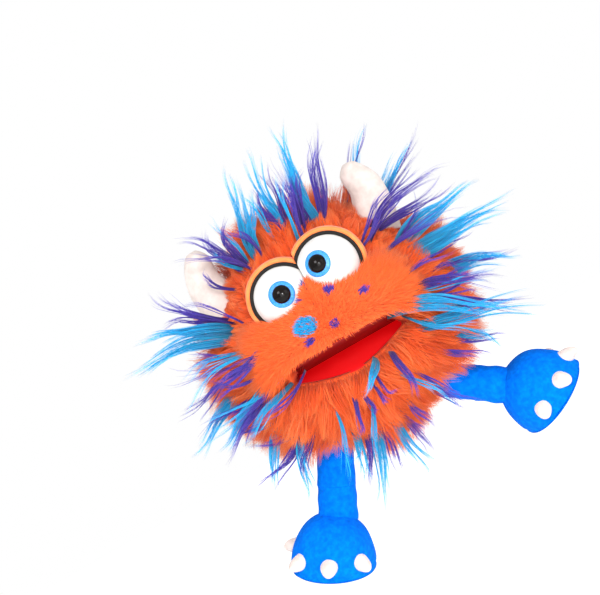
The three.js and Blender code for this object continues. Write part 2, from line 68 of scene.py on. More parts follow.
# ---- sizes (mm, body frame)
BODY_TO_ROW = np.array([0.0, -81.0, 25.0])
SKIN = np.array([85.0, 75.0, 75.0])
SKIN_DEPTH = 0.86
HINGE_Y, HINGE_Z = 15.0, -25.0
PALATE_ANGLE, FLOOR_ANGLE = 8.5, -11.0
JAW_END_ANGLE, BELLY_ANGLE = -50.0, -66.0
JAW_HALF, JOWL_HALF = 52.0, 70.0
MOUTH_HALF = 46.0
PALATE_REACH, FLOOR_REACH = 91.0, 74.0
PALATE_THICKNESS = 1.5
MUZZLE_CENTRE = np.array([0.0, -61.0, -7.0])
MUZZLE_RADII = np.array([60.0, 32.0, 42.0])
PILE_LIFT = 1.4
BRIDGE_CENTRE = np.array([-3.0, -66.0, 21.0])
BRIDGE_RADII = np.array([13.0, 18.5, 19.0])
EYES = {
    "right": {"centre": np.array([-20.0, -60.0, 35.5]), "radius": 25.0, "yaw": 0.0, "pitch": 7.0, "sign": -1},
    "left": {"centre": np.array([20.0, -60.0, 39.0]), "radius": 25.5, "yaw": -14.0, "pitch": 14.0, "sign": 1},
}
LID_FRONT, LID_REAR, LID_DROP = 8.0, 11.0, 13.0
IRIS_RADIUS, PUPIL_RADIUS, PUPIL_HEIGHT = 10.0, 7.0, 5.0
HORN_PATH = np.array([[66, 40, 17], [71, 60, 16.5], [73, 76, 14], [69, 92, 10.5], [66, 100, 6]], float)
HORN_Y, HORN_FLATTENING = -3.0, 0.85
REAR_LOCK_DEPTH = 27.5
CORNER_STRANDS, CORNER_REACH = 3000, 46.0
MOST_STRANDS = 12400
PILE_TAPER = np.array([1.0, 0.8, 0.42])
LIP_RISE = 9.5
STRAIGHT_SHARE = 0.55
HAND_Z, HAND_HALF_WIDTH, HAND_HALF_HEIGHT = -25, 50, 33
FLOOR_LEVEL = -0.6
HIP = np.array([45.0, 4.0, -80.0])
SPLAY_DROP = 16.0
LEG_TOP_RADIUS, ANKLE_RADIUS = 12.0, 13.0
LEGS = {
    "right": {"sign": -1, "splay": 27, "length": 60, "foot_splay": 27, "yaw": 0, "foot_out": 5, "plump": 1.2},
    "left": {"sign": 1, "splay": 55, "length": 50, "foot_splay": 28, "yaw": 20, "foot_out": 12, "plump": 1.1},
}
FOOT_RADII = np.array([33.5, 35.0, 42.0])
FOOT_BACK, FOOT_DROP = -11.0, -40.0
SOLE_BOTTOM = -42.8
CLAW_RADIUS, CLAW_LENGTH, CLAW_HEIGHT = 6.5, 11.0, 12.0
CLAWS = {"inner": (-40, 1.0), "middle": (6, 1.0), "outer": (52, 1.0), "rear": (118, 1.04)}

AMBIENT = 0.72
LAMPS = [["key", (-0.5, -1.3, 0.9), 0.5, 9], ["fill", (1.1, -1.1, 0.3), 0.9, 4],
         ["mouth_fill", (0.05, -1.6, 0.12), 0.9, 8], ["pupil_light", (0.12, -1.0, 0.2), 0.07, 3.6]]

# tones of the fur material: where each dye sits on its colour ramp
ORANGE_DARK, ORANGE_LIGHT = 0.05, 0.55
PURPLE, TEAL, CYAN = 0.72, 0.9, 0.92

# [dye, root x, root z, tip x, tip z, width at the root, bend to the left of its run]
LOCKS = {
    "crown_locks": [
        [CYAN, -25, 66, -10, 142, 13, -4], [CYAN, -27, 66, -2, 118, 8, -6], [CYAN, 6, 78, 8, 145, 9, 3],
        [CYAN, 20, 74, 35, 150, 12, -3], [CYAN, 28, 78, 42, 150, 9, 4], [CYAN, 34, 76, 28, 128, 8, 5],
        [PURPLE, 2, 72, -1, 118, 9, 4], [PURPLE, 4, 74, 16, 128, 8, -5], [PURPLE, 16, 72, 40, 112, 10, 3],
        [PURPLE, 34, 76, 62, 136, 7, -5], [PURPLE, 40, 84, 56, 130, 5, 4], [PURPLE, 24, 76, 22, 116, 7, 0],
        [PURPLE, -40, 78, -30, 110, 7, 4], [PURPLE, -46, 78, -70, 116, 6, -7], [PURPLE, -48, 82, -52, 110, 5, 5],
        [PURPLE, 66, 92, 95, 122, 4, -4], [CYAN, 75, 86, 98, 118, 9, 4], [PURPLE, -52, 60, -62, 84, 3, 9],
    ],
    "right_side_locks": [
        [CYAN, -64, 26, -154, 44, 19, -7], [CYAN, -66, 30, -136, 62, 14, -4], [PURPLE, -78, 46, -110, 90, 5, 5],
        [PURPLE, -78, 42, -115, 62, 5, -4], [PURPLE, -40, 16, -118, -2, 6, 9], [PURPLE, -45, 3, -110, 1, 8, -4],
        [PURPLE, -80, 10, -137, -10, 6, 8], [CYAN, -84, -6, -142, -36, 13, 5], [PURPLE, -58, -14, -120, -50, 9, 4],
        [CYAN, -66, -22, -122, -42, 15, -4], [PURPLE, -62, -40, -112, -38, 7, -6],
        [PURPLE, -46, -57, -104, -50, 7, -7], [PURPLE, -66, -64, -114, -80, 7, 5],
        [CYAN, -80, -50, -101, -95, 9, -5], [CYAN, -72, -58, -82, -112, 8, 4], [PURPLE, -34, -20, -92, -36, 3, 5],
        [PURPLE, -54, -66, -78, -98, 5, -6], [CYAN, -48, -24, -100, -46, 5, -5],
    ],
    "left_side_locks": [
        [CYAN, 68, 16, 166, 27, 17, -7], [CYAN, 68, 22, 148, 37, 18, 6], [CYAN, 74, 14, 156, 11, 12, 4],
        [PURPLE, 66, 50, 136, 60, 6, 4], [PURPLE, 62, 44, 132, 46, 7, -9], [PURPLE, 84, 66, 134, 100, 6, -5],
        [CYAN, 86, 66, 124, 86, 13, 4], [PURPLE, 74, 4, 126, 8, 6, 3], [PURPLE, 82, 4, 148, -22, 5, -7],
        [CYAN, 84, -8, 148, -26, 17, 4], [CYAN, 40, -14, 128, -66, 14, 14], [CYAN, 50, -34, 152, -66, 12, 9],
        [PURPLE, 66, -26, 138, -60, 11, 6], [PURPLE, 60, -18, 108, -48, 8, 6], [PURPLE, 70, -60, 112, -75, 6, 5],
        [CYAN, 62, -42, 104, -78, 9, 6], [PURPLE, 56, -8, 128, -34, 8, 8], [PURPLE, 48, -52, 96, -84, 5, 7],
    ],
    "belly_locks": [
        [PURPLE, -18, -72, -40, -124, 8, 5], [CYAN, -14, -84, -40, -146, 10, 6], [CYAN, 0, -92, 4, -138, 10, 3],
        [PURPLE, -4, -90, -6, -128, 6, -3], [PURPLE, 10, -90, 18, -132, 5, 4], [PURPLE, 20, -74, 62, -104, 7, 12],
        [CYAN, -24, -80, -38, -120, 6, -4],
    ],
    "chin_locks": [
        [CYAN, 16, -38, -8, -56, 8, -3], [PURPLE, -8, -52, -2, -74, 4, 4], [PURPLE, 28, -38, 31, -80, 6, -3],
        [PURPLE, -12, -50, -26, -84, 4, 3], [PURPLE, 2, -50, 4, -72, 2.2, 6], [PURPLE, 10, -44, 22, -66, 2.5, -6],
    ],
}

# [x, z, half width, half height, dye] of the dyed spots on the muzzle
SPOTS = [[-17, 10, 9.5, 7.5, TEAL], [-5, 41, 4, 3, PURPLE], [13, 26, 4.2, 3, PURPLE], [36, 12, 4, 2.8, PURPLE],
         [4, 1, 4.2, 4, PURPLE], [-20, -2, 5, 3, PURPLE], [-14, 30, 2.4, 2, PURPLE]]

# ---- colours
def linear(code):
    """A #rrggbb colour as the linear values that a shader takes."""
    values = [int(code[i:i + 2], 16) / 255 for i in (1, 3, 5)]
    return [v / 12.92 if v <= 0.04045 else ((v + 0.055) / 1.055) ** 2.4 for v in values] + [1.0]


# ---- materials
class Nodes:
    """A material with a Principled shader, and short ways to add nodes to it."""

    def __init__(self, name):
        self.material = bpy.data.materials.new(name)
        self.material.use_nodes = True
        self.tree = self.material.node_tree
        self.shader = self.tree.nodes["Principled BSDF"]

    def add(self, kind, **values):
        node = self.tree.nodes.new(kind)
        for key, value in values.items():
            setattr(node, key, value)
        return node

    def link(self, source, target):
        self.tree.links.new(source, target)

    def place(self):
        return self.add("ShaderNodeTexCoord").outputs["Object"]

    def noise(self, scale, detail=3.0, rough=0.55):
        node = self.add("ShaderNodeTexNoise")
        node.inputs["Scale"].default_value = scale
        node.inputs["Detail"].default_value = detail
        node.inputs["Roughness"].default_value = rough
        self.link(self.place(), node.inputs["Vector"])
        return node.outputs["Fac"]

    def ramp(self, source, stops):
        node = self.add("ShaderNodeValToRGB")
        ends = node.color_ramp.elements
        while len(ends) < len(stops):
            ends.new(0.5)
        for element, (at, colour) in zip(ends, stops):
            element.position = at
        for element, (at, colour) in zip(ends, stops):
            element.color = linear(colour) if isinstance(colour, str) else colour
        self.link(source, node.inputs["Fac"])
        return node.outputs["Color"]

    def multiply(self, a, b):
        node = self.add("ShaderNodeMix", data_type="RGBA", blend_type="MULTIPLY")
        node.inputs["Factor"].default_value = 1.0
        self.link(a, node.inputs[6])
        self.link(b, node.inputs[7])
        return node.outputs[2]

    def bump(self, source, strength, distance):
        node = self.add("ShaderNodeBump")
        node.inputs["Strength"].default_value = strength
        node.inputs["Distance"].default_value = distance
        self.link(source, node.inputs["Height"])
        self.link(node.outputs["Normal"], self.shader.inputs["Normal"])

    def finish(self, roughness, sheen=0.0, **inputs):
        self.shader.inputs["Roughness"].default_value = roughness
        self.shader.inputs["Sheen Weight"].default_value = sheen
        for key, value in inputs.items():
            self.shader.inputs[key.replace("_", " ")].default_value = value
        return self.material


def mottled(name, patch, stops, grain, bump, depth, roughness, sheen=0.0, detail=3.0, **inputs):
    """A surface whose shade drifts in patches, under a fine bump."""
    nodes = Nodes(name)
    nodes.link(nodes.ramp(nodes.noise(patch), stops), nodes.shader.inputs["Base Color"])
    nodes.bump(nodes.noise(grain, detail), bump, depth)
    return nodes.finish(roughness, sheen, **inputs)


def cloth(name, dark, mid, light, patch, grain, roughness=0.85, sheen=0.25, bump=0.5, depth=0.0004, **inputs):
    """A napped or knitted cloth: broad patches where the nap lies differently, and a fine grain."""
    stops = [(0.3, dark), (0.5, mid), (0.7, light)]
    return mottled(name, patch, stops, grain, bump, depth, roughness, sheen, 4.0, **inputs)


def woven(name, dark, light, threads, roughness=0.7, sheen=0.1):
    """A woven cloth: two crossing sets of threads and a slow change of shade."""
    nodes = Nodes(name)
    colour = nodes.ramp(nodes.noise(60), [(0.35, dark), (0.65, light)])
    nodes.link(colour, nodes.shader.inputs["Base Color"])
    sets = []
    for direction in ("X", "Y"):
        wave = nodes.add("ShaderNodeTexWave", bands_direction=direction)
        wave.inputs["Scale"].default_value = threads
        wave.inputs["Distortion"].default_value = 0.6
        nodes.link(nodes.place(), wave.inputs["Vector"])
        sets.append(wave.outputs["Color"])
    nodes.bump(nodes.multiply(*sets), 0.3, 0.0002)
    return nodes.finish(roughness, sheen)


def fur_material(name):
    """Strands carry (place along the strand, dye) as their coordinates."""
    nodes = Nodes(name)
    uv = nodes.add("ShaderNodeUVMap", uv_map="OFBake")
    split = nodes.add("ShaderNodeSeparateXYZ")
    nodes.link(uv.outputs["UV"], split.inputs["Vector"])
    dye = nodes.ramp(split.outputs["Y"], [
        (0.0, "#C63E0C"), (0.25, "#EE5618"), (0.45, "#FC6A2A"), (0.62, "#FF8A50"),
        (0.64, "#2A2290"), (0.79, "#5A40B4"), (0.83, "#0486D0"), (0.98, "#22BCEC")])
    # painted shade and light: each strand is darkened towards its root as painted shade of the pile's depth, and
    # paled at its tip as painted light
    shade = nodes.ramp(split.outputs["X"], [
        (0.0, [0.42, 0.30, 0.30, 1]), (0.3, [0.82, 0.74, 0.74, 1]),
        (0.7, [1, 1, 1, 1]), (1.0, [1.1, 1.45, 1.5, 1])])
    nodes.link(nodes.multiply(dye, shade), nodes.shader.inputs["Base Color"])
    nodes.bump(nodes.noise(3000, 2.0), 0.2, 0.0001)
    return nodes.finish(0.55, 0.15, Specular_IOR_Level=0.25)


FUR = fur_material("long_fur")
SKIN_CLOTH = cloth("fur_backing", "#B83C0E", "#D84E18", "#EC6026", 90, 1800, 0.9, 0.03)
MUZZLE_CLOTH = cloth("muzzle_backing", "#EE5E26", "#F86C30", "#FF7C42", 120, 1800, 0.9, 0.03)
BLUE = cloth("blue_plush", "#0062D2", "#006EE4", "#007CF2", 260, 1500, 0.95, 0.0, 0.6, 0.0005,
             Specular_IOR_Level=0.04)
SOLE = cloth("blue_sole", "#0058BE", "#0066D2", "#0072E2", 260, 1500, 0.95, 0.0, 0.6, 0.0005,
             Specular_IOR_Level=0.04)
HORN = cloth("horn_plush", "#C9BBB4", "#D3C6BF", "#DCD0CA", 150, 1600, 0.9, 0.3, 0.6, 0.0005)
CLAW = cloth("claw_plush", "#D2C2BA", "#DCCDC6", "#E6D9D3", 160, 1700, 0.9, 0.3, 0.6, 0.0005)
WHITE = cloth("eye_knit", "#CECAC6", "#D6D3D0", "#DCDAD8", 80, 2400, 0.75, 0.15, 0.3, 0.0002)
LID = cloth("eyelid_cloth", "#F07838", "#FB8642", "#FF9352", 100, 2200, 0.75, 0.2, 0.4, 0.0002)
PIPING = cloth("piping_cord", "#0A0706", "#100C0A", "#18120F", 200, 2600, 0.9, 0.0, 0.4, 0.0002)
# painted shade: a darker copy of the mouth's red lining, for the roof of the mouth, the cheek gussets and the
# mouth corners, where shade falls
PAINTED_SHADE_RED = cloth("painted_shade_red_cloth", "#820102", "#960203", "#A80304", 50, 2400, 0.9, 0.0, 0.3, 0.0002)
# painted light: the mouth floor's own bright red, made to glow a little so that it stays bright in the mouth's
# shade
GLOWING_FLOOR_RED = cloth("mouth_floor_painted_glow", "#FA0008", "#FF040E", "#FF1018", 50, 2400, 0.9, 0.0, 0.3, 0.0002,
                   Emission_Color=linear("#FF040E"), Emission_Strength=0.35)
LINING = woven("lining_cloth", "#2A1A14", "#3A261C", 900)
FIBRE = cloth("stuffing_fibre", "#E4E0D8", "#F0EDE6", "#FAF8F4", 200, 900, 0.95, 0.3, 0.8, 0.001)
BOARD = cloth("mouth_board_look", "#7A6A58", "#8A7A66", "#988874", 140, 1200, 0.85, 0.0, 0.3, 0.0002)
IRIS = mottled("iris_print", 900, [(0.3, "#1F6FB8"), (0.5, "#2C8AD8"), (0.7, "#48A4EA")],
               1500, 0.2, 0.0001, 0.4)
GLOSS = mottled("pupil_gloss", 250, [(0.3, "#080606"), (0.7, "#15100E")], 600, 0.02, 0.00005, 0.05,
                Specular_IOR_Level=0.16)


# ---- meshes
def row(points):
    """Body frame millimetres to the CAD frame's metres."""
    return (np.asarray(points, float) + BODY_TO_ROW) * 0.001


def add_object(name, data):
    obj = bpy.data.objects.new(name, data)
    bpy.context.collection.objects.link(obj)
    return obj


def mesh_object(name, points, faces, material):
    """A closed, smooth shaded mesh."""
    mesh = bpy.data.meshes.new(name)
    mesh.from_pydata(row(points).tolist(), [], faces)
    mesh.materials.append(material)
    work = bmesh.new()
    work.from_mesh(mesh)
    bmesh.ops.recalc_face_normals(work, faces=work.faces)
    work.to_mesh(mesh)
    work.free()
    mesh.shade_smooth()
    return add_object(name, mesh)


def loft(name, rings, material):
    """A closed body through rings of points, shape (rings, points, 3)."""
    rings = np.asarray(rings, float)
    count, size = rings.shape[:2]
    points = np.vstack([rings.reshape(-1, 3), rings[0].mean(0), rings[-1].mean(0)])
    faces = []
    for i in range(count - 1):
        for j in range(size):
            k = (j + 1) % size
            faces.append([i * size + j, i * size + k, (i + 1) * size + k, (i + 1) * size + j])
    first, last = count * size, count * size + 1
    for j in range(size):
        k = (j + 1) % size
        faces.append([first, k, j])
        faces.append([last, (count - 1) * size + j, (count - 1) * size + k])
    return mesh_object(name, points, faces, material)


def shell(name, outer, inner, kept, material, wrap=False):
    """The kept cells of a grid as a closed shell. outer and inner have shape (n, m, 3)."""
    n, m = outer.shape[:2]
    points = np.vstack([outer.reshape(-1, 3), inner.reshape(-1, 3)])
    cells = [(i, j) for i in range(n - 1) for j in range(m if wrap else m - 1) if kept[i, j]]
    edges = {}
    faces = []
    for i, j in cells:
        k = (j + 1) % m
        corner = [i * m + j, i * m + k, (i + 1) * m + k, (i + 1) * m + j]
        faces.append(corner)
        faces.append([c + n * m for c in reversed(corner)])
        for a, b in zip(corner, corner[1:] + corner[:1]):
            if (b, a) in edges:
                del edges[(b, a)]
            else:
                edges[(a, b)] = True
    for a, b in edges:
        faces.append([b, a, a + n * m, b + n * m])
    used = sorted({v for f in faces for v in f})
    order = {v: i for i, v in enumerate(used)}
    return mesh_object(name, points[used], [[order[v] for v in f] for f in faces], material)


def circle(count):
    """Evenly spaced angles round a full turn."""
    return np.linspace(0, 2 * math.pi, count, endpoint=False)


def on_ray(x, reach, angle):
    """The point at a distance and an angle, in radians, from the jaw hinge."""
    return [x, HINGE_Y - reach * math.cos(angle), HINGE_Z + reach * math.sin(angle)]


def rotation(axis, degrees):
    a = math.radians(degrees)
    c, s = math.cos(a), math.sin(a)
    return {
        "x": np.array([[1, 0, 0], [0, c, -s], [0, s, c]]),
        "y": np.array([[c, 0, s], [0, 1, 0], [-s, 0, c]]),
        "z": np.array([[c, -s, 0], [s, c, 0], [0, 0, 1]]),
    }[axis]


def ruffle(points, scale, amount, seed):
    """Points pushed along smooth noise, as stuffed cloth is never quite even."""
    points = np.asarray(points, float)
    flat = points.reshape(-1, 3)
    push = [noise.noise_vector(Vector(p / scale) + Vector((seed, 0.7 * seed, -seed))) for p in flat]
    return (flat + np.array(push) * amount).reshape(points.shape)


def ellipsoid_grid(centre, radii, rings=48, around=96):
    lat = np.linspace(-math.pi / 2 + 1e-3, math.pi / 2 - 1e-3, rings)[:, None]
    lon = np.linspace(0, 2 * math.pi, around, endpoint=False)[None, :]
    sphere = np.stack([np.cos(lat) * np.cos(lon), np.cos(lat) * np.sin(lon), np.sin(lat) + 0 * lon], -1)
    return centre + sphere * radii


def dress(obj, body, slot, *nodes):
    """obj rides a body and stands for CAD nodes; slot is not used."""
    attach(obj, body)
    if nodes:
        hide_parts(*nodes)
    return obj


def bend(obj, a, b, start, end, slot, *nodes):
    """obj's placement is baked into its mesh and it stands for CAD nodes; the bodies a and b and the span from
    start to end are not used.
    """
    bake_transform(obj)
    if nodes:
        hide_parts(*nodes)
    return obj


# ---- strands
def limit_to_box(lines):
    """Strands are drawn back where they would leave the room round the CAD box."""
    low, high = (np.array([list(c) for c in CAD_BOUNDS]) * 1000 - BODY_TO_ROW)
    room = (high - low) * 0.03 + 8.0
    return np.clip(lines, low - room, high + room)


def strand_object(name, lines, widths, tones, material, rng, ground=None):
    """Closed three sided tapering strands. lines (n, k, 3), widths (n, k - 1), tones (n).
    Where ground, the cloth's normal under each strand, is given, the strands are lit as one soft nap."""
    lines = limit_to_box(lines)
    n, k = lines.shape[:2]
    along = lines[:, -1] - lines[:, 0]
    along /= np.linalg.norm(along, axis=1, keepdims=True) + 1e-9
    side = np.cross(along, rng.normal(size=(n, 3)))
    side /= np.linalg.norm(side, axis=1, keepdims=True) + 1e-9
    up = np.cross(along, side)
    corners = []
    for j in range(3):
        a = 2 * math.pi * j / 3
        offset = math.cos(a) * side + math.sin(a) * up
        corners.append(lines[:, :-1] + offset[:, None] * (widths[:, :, None] / 2))
    rings = np.stack(corners, 2).reshape(n, -1, 3)
    points = np.concatenate([rings, lines[:, -1:]], 1)
    tip = 3 * (k - 1)
    triangles = [[0, 2, 1]]
    for i in range(k - 2):
        for j in range(3):
            a, b = 3 * i + j, 3 * i + (j + 1) % 3
            triangles += [[a, b, b + 3], [a, b + 3, a + 3]]
    triangles += [[tip - 3 + j, tip - 3 + (j + 1) % 3, tip] for j in range(3)]
    faces = (np.array(triangles)[None] + (np.arange(n) * (tip + 1))[:, None, None]).reshape(-1)
    mesh = bpy.data.meshes.new(name)
    mesh.vertices.add(n * (tip + 1))
    mesh.vertices.foreach_set("co", row(points.reshape(-1, 3)).astype(np.float32).ravel())
    mesh.loops.add(len(faces))
    mesh.loops.foreach_set("vertex_index", faces.astype(np.int32))
    mesh.polygons.add(len(faces) // 3)
    mesh.polygons.foreach_set("loop_start", np.arange(0, len(faces), 3, dtype=np.int32))
    place = np.append(np.repeat(np.arange(k - 1), 3), k - 1) / (k - 1)
    uv = np.stack([np.broadcast_to(place, (n, tip + 1)), np.broadcast_to(tones[:, None], (n, tip + 1))], -1)
    layer = mesh.uv_layers.new(name="OFBake")
    layer.data.foreach_set("uv", uv.reshape(-1, 2)[faces].astype(np.float32).ravel())
    mesh.update(calc_edges=True)
    mesh.shade_smooth()
    mesh.materials.append(material)
    if ground is not None:
        round_them = np.concatenate([rings - np.repeat(lines[:, :-1], 3, 1), along[:, None]], 1)
        normals = unit(0.62 * unit(round_them) + 0.55 * ground[:, None])
        mesh.normals_split_custom_set_from_vertices(normals.reshape(-1, 3).tolist())
    return add_object(name, mesh)


def unit(v):
    return v / (np.linalg.norm(v, axis=-1, keepdims=True) + 1e-9)


PILE_AT = np.array([0.0, 0.38, 0.72, 1.0])


def nearest_guides(roots, rng, per_clump):
    """For each strand, the index of the guide strand nearest to it."""
    guides = rng.choice(len(roots), max(1, len(roots) // per_clump), replace=False)
    tree = kdtree.KDTree(len(guides))
    for i, g in enumerate(guides):
        tree.insert(Vector(roots[g]), i)
    tree.balance()
    return guides[[tree.find(Vector(r))[1] for r in roots]]


def pile_lines(roots, directions, lengths, rng, per_clump, stray, clumping, sag=0.0):
    """Curved strand centre lines gathered in clumps round every per_clump-th strand."""
    n = len(roots)
    at = PILE_AT
    swing = rng.normal(size=(n, 3)) * stray
    curl = rng.normal(size=(n, 3)) * 0.12
    nearest = nearest_guides(roots, rng, per_clump)
    heading = unit(directions + swing)
    lines = roots[:, None] + heading[:, None] * (lengths[:, None] * at)[:, :, None]
    lines += curl[:, None] * (lengths[:, None] * at ** 2)[:, :, None]
    lines[:, :, 2] -= sag * lengths[:, None] * at ** 2
    pull = clumping * at ** 1.4
    gathered = lines * (1 - pull[None, :, None]) + lines[nearest] * pull[None, :, None]
    return gathered, nearest


# ---- the fur ball
def hinge_angle(p):
    """Angle round the jaw hinge, in degrees: 0 is forward and positive is up."""
    return np.degrees(np.arctan2(p[..., 2] - HINGE_Z, HINGE_Y - p[..., 1]))


def floor_angle(x):
    """The lower lip's angle round the hinge: it rises towards the corners of the mouth."""
    share = np.clip(np.abs(x) / MOUTH_HALF, 0, 1)
    return FLOOR_ANGLE + LIP_RISE * share ** 1.6


def inside(p, centre, radii):
    return (((p - centre) / radii) ** 2).sum(-1)


def regions(p):
    """Where points of the ball's skin belong."""
    angle = hinge_angle(p)
    x = np.abs(p[..., 0])
    front = p[..., 1] < 0
    eyes = np.minimum(*[np.linalg.norm(p - e["centre"], axis=-1) - e["radius"] for e in EYES.values()])
    lip = floor_angle(p[..., 0])
    chin_sector = front & (angle > JAW_END_ANGLE) & (angle < lip)
    hand = (p[..., 1] > 50) & (np.hypot(p[..., 0] / 53, (p[..., 2] + 25) / 36) < 1)
    return {
        "mouth": front & (x < MOUTH_HALF + 3) & (angle > lip) & (angle < PALATE_ANGLE),
        "jaw": chin_sector & (x < JAW_HALF),
        "jowl": chin_sector & (x >= JAW_HALF) & (x < JOWL_HALF),
        "gap": front & (angle > BELLY_ANGLE) & (angle <= JAW_END_ANGLE) & (x < JOWL_HALF),
        "muzzle": (inside(p, MUZZLE_CENTRE, MUZZLE_RADII * 0.95) < 1) & (angle >= PALATE_ANGLE),
        "eyes": eyes < 2.5,
        "near_eyes": eyes,
        "hand": hand,
    }


def build_skins():
    """The cloth that the fur grows from, as a head shell and a jaw shell."""
    grid = ellipsoid_grid(np.zeros(3), SKIN, 91, 160)
    centre = (grid[:-1] + grid[1:] + np.roll(grid, -1, 1)[:-1] + np.roll(grid, -1, 1)[1:]) / 4
    found = regions(centre)
    kept = ~(found["mouth"] | found["jaw"] | found["hand"])
    head = shell("head_skin", grid, grid * SKIN_DEPTH, kept, SKIN_CLOTH, wrap=True)
    dress(head, "head", "fur_orange", "crown_fur", "back_fur", "belly_fur", "right_cheek_fur", "left_cheek_fur",
          "crown_stuffing", "right_cheek_stuffing", "left_cheek_stuffing")
    xs = np.linspace(-JAW_HALF - 1, JAW_HALF + 1, 60)
    outer = np.zeros((24, len(xs), 3))
    inner = np.zeros_like(outer)
    for j, x in enumerate(xs):
        angles = np.radians(np.linspace(JAW_END_ANGLE - 8, floor_angle(x) - 0.5, 24))
        for i, a in enumerate(angles):
            for surface, thickness in ((outer, 0.0), (inner, 11.0)):
                reach = ray_to_skin(x, a) - thickness - 0.6
                surface[i, j] = on_ray(x, reach, a)
    every = np.ones((23, len(xs) - 1), bool)
    jaw = shell("jaw_skin", outer, inner, every, SKIN_CLOTH)
    dress(jaw, "jaw", "fur_orange", "jaw_fur", "jaw_stuffing")


def cheek(x):
    """A point under the cheeks, handed to bend()."""
    return [x, -40, -45]


def gusset_top(x):
    """The angle where the cheek gusset ends: under the lip by the mouth, at the palate further out."""
    beyond = np.clip((np.abs(x) - MOUTH_HALF - 1) / 8, 0, 1)
    lip = floor_angle(x) - 2
    return lip + (PALATE_ANGLE - lip) * beyond


def corner_pile(name, sign):
    """Short pile on a cheek gusset, so that no bare cloth shows beside an open mouth."""
    rng = np.random.default_rng(41 + sign)
    x = sign * rng.uniform(MOUTH_HALF + 2, JOWL_HALF - 5, CORNER_STRANDS)
    degrees = rng.uniform(JAW_END_ANGLE + 6, PALATE_ANGLE, CORNER_STRANDS)
    below = degrees < gusset_top(x) - 1
    x, angle = x[below], np.radians(degrees[below])
    reach = np.array([ray_to_skin(*place) for place in zip(x, angle)]) - 2.0
    roots = np.stack([x, HINGE_Y - reach * np.cos(angle), HINGE_Z + reach * np.sin(angle)], 1)
    normal = unit(roots / SKIN ** 2)
    heading = normal * 0.55 + [sign * 0.5, -0.1, -0.55]
    n = len(roots)
    lines, nearest = pile_lines(roots, heading, rng.uniform(10, 17, n), rng, 12, 0.3, 0.7)
    tone = rng.uniform(ORANGE_DARK + 0.05, ORANGE_LIGHT, n)
    width = rng.uniform(0.55, 0.85, n)[:, None] * PILE_TAPER
    shade = 0.4 * tone + 0.6 * tone[nearest]
    return strand_object(name + "_corner_pile", lines, width, shade, FUR, rng, normal)


def build_gussets():
    """Cloth under the cheeks, between the head and the jaw."""
    for name, sign in (("right", -1), ("left", 1)):
        xs = sign * np.linspace(JOWL_HALF - 4, MOUTH_HALF + 1, 22)
        outer = np.zeros((30, 22, 3))
        inner = np.zeros_like(outer)
        for j, x in enumerate(xs):
            for i, a in enumerate(np.radians(np.linspace(JAW_END_ANGLE - 4, gusset_top(x), 30))):
                for surface, depth in ((outer, 2.5), (inner, 4.5)):
                    reach = ray_to_skin(x, a) - depth
                    surface[i, j] = on_ray(x, reach, a)
        # the gusset's darker red is painted shade of the recess under the cheek
        gusset = shell(name + "_cheek_gusset", outer, inner, np.ones((29, 21), bool), PAINTED_SHADE_RED)
        fold = cheek(sign * (JOWL_HALF - 4)), cheek(sign * (MOUTH_HALF + 3))
        bend(gusset, "head", "jaw", *fold, "mouth_lining")
        bend(corner_pile(name, sign), "head", "jaw", *fold, "fur_orange")


def ray_to_skin(x, angle):
    """Distance from the hinge line to the ball's skin."""
    scale = 1 - (x / SKIN[0]) ** 2
    dy, dz = -math.cos(angle) / SKIN[1], math.sin(angle) / SKIN[2]
    y, z = HINGE_Y / SKIN[1], HINGE_Z / SKIN[2]
    a, b, c = dy * dy + dz * dz, 2 * (y * dy + z * dz), y * y + z * z - scale
    return (-b + math.sqrt(b * b - 4 * a * c)) / (2 * a)


def in_horn(p):
    x = np.abs(p[:, 0])
    return (np.abs(x - 68) < 12) & (np.abs(p[:, 1] - HORN_Y) < 11) & (p[:, 2] > 20)


def near_hips(p):
    """Distance of points from where the legs leave the ball."""
    return np.minimum(*[np.linalg.norm(p - HIP * [s, 1, 1], axis=1) for s in (-1, 1)])


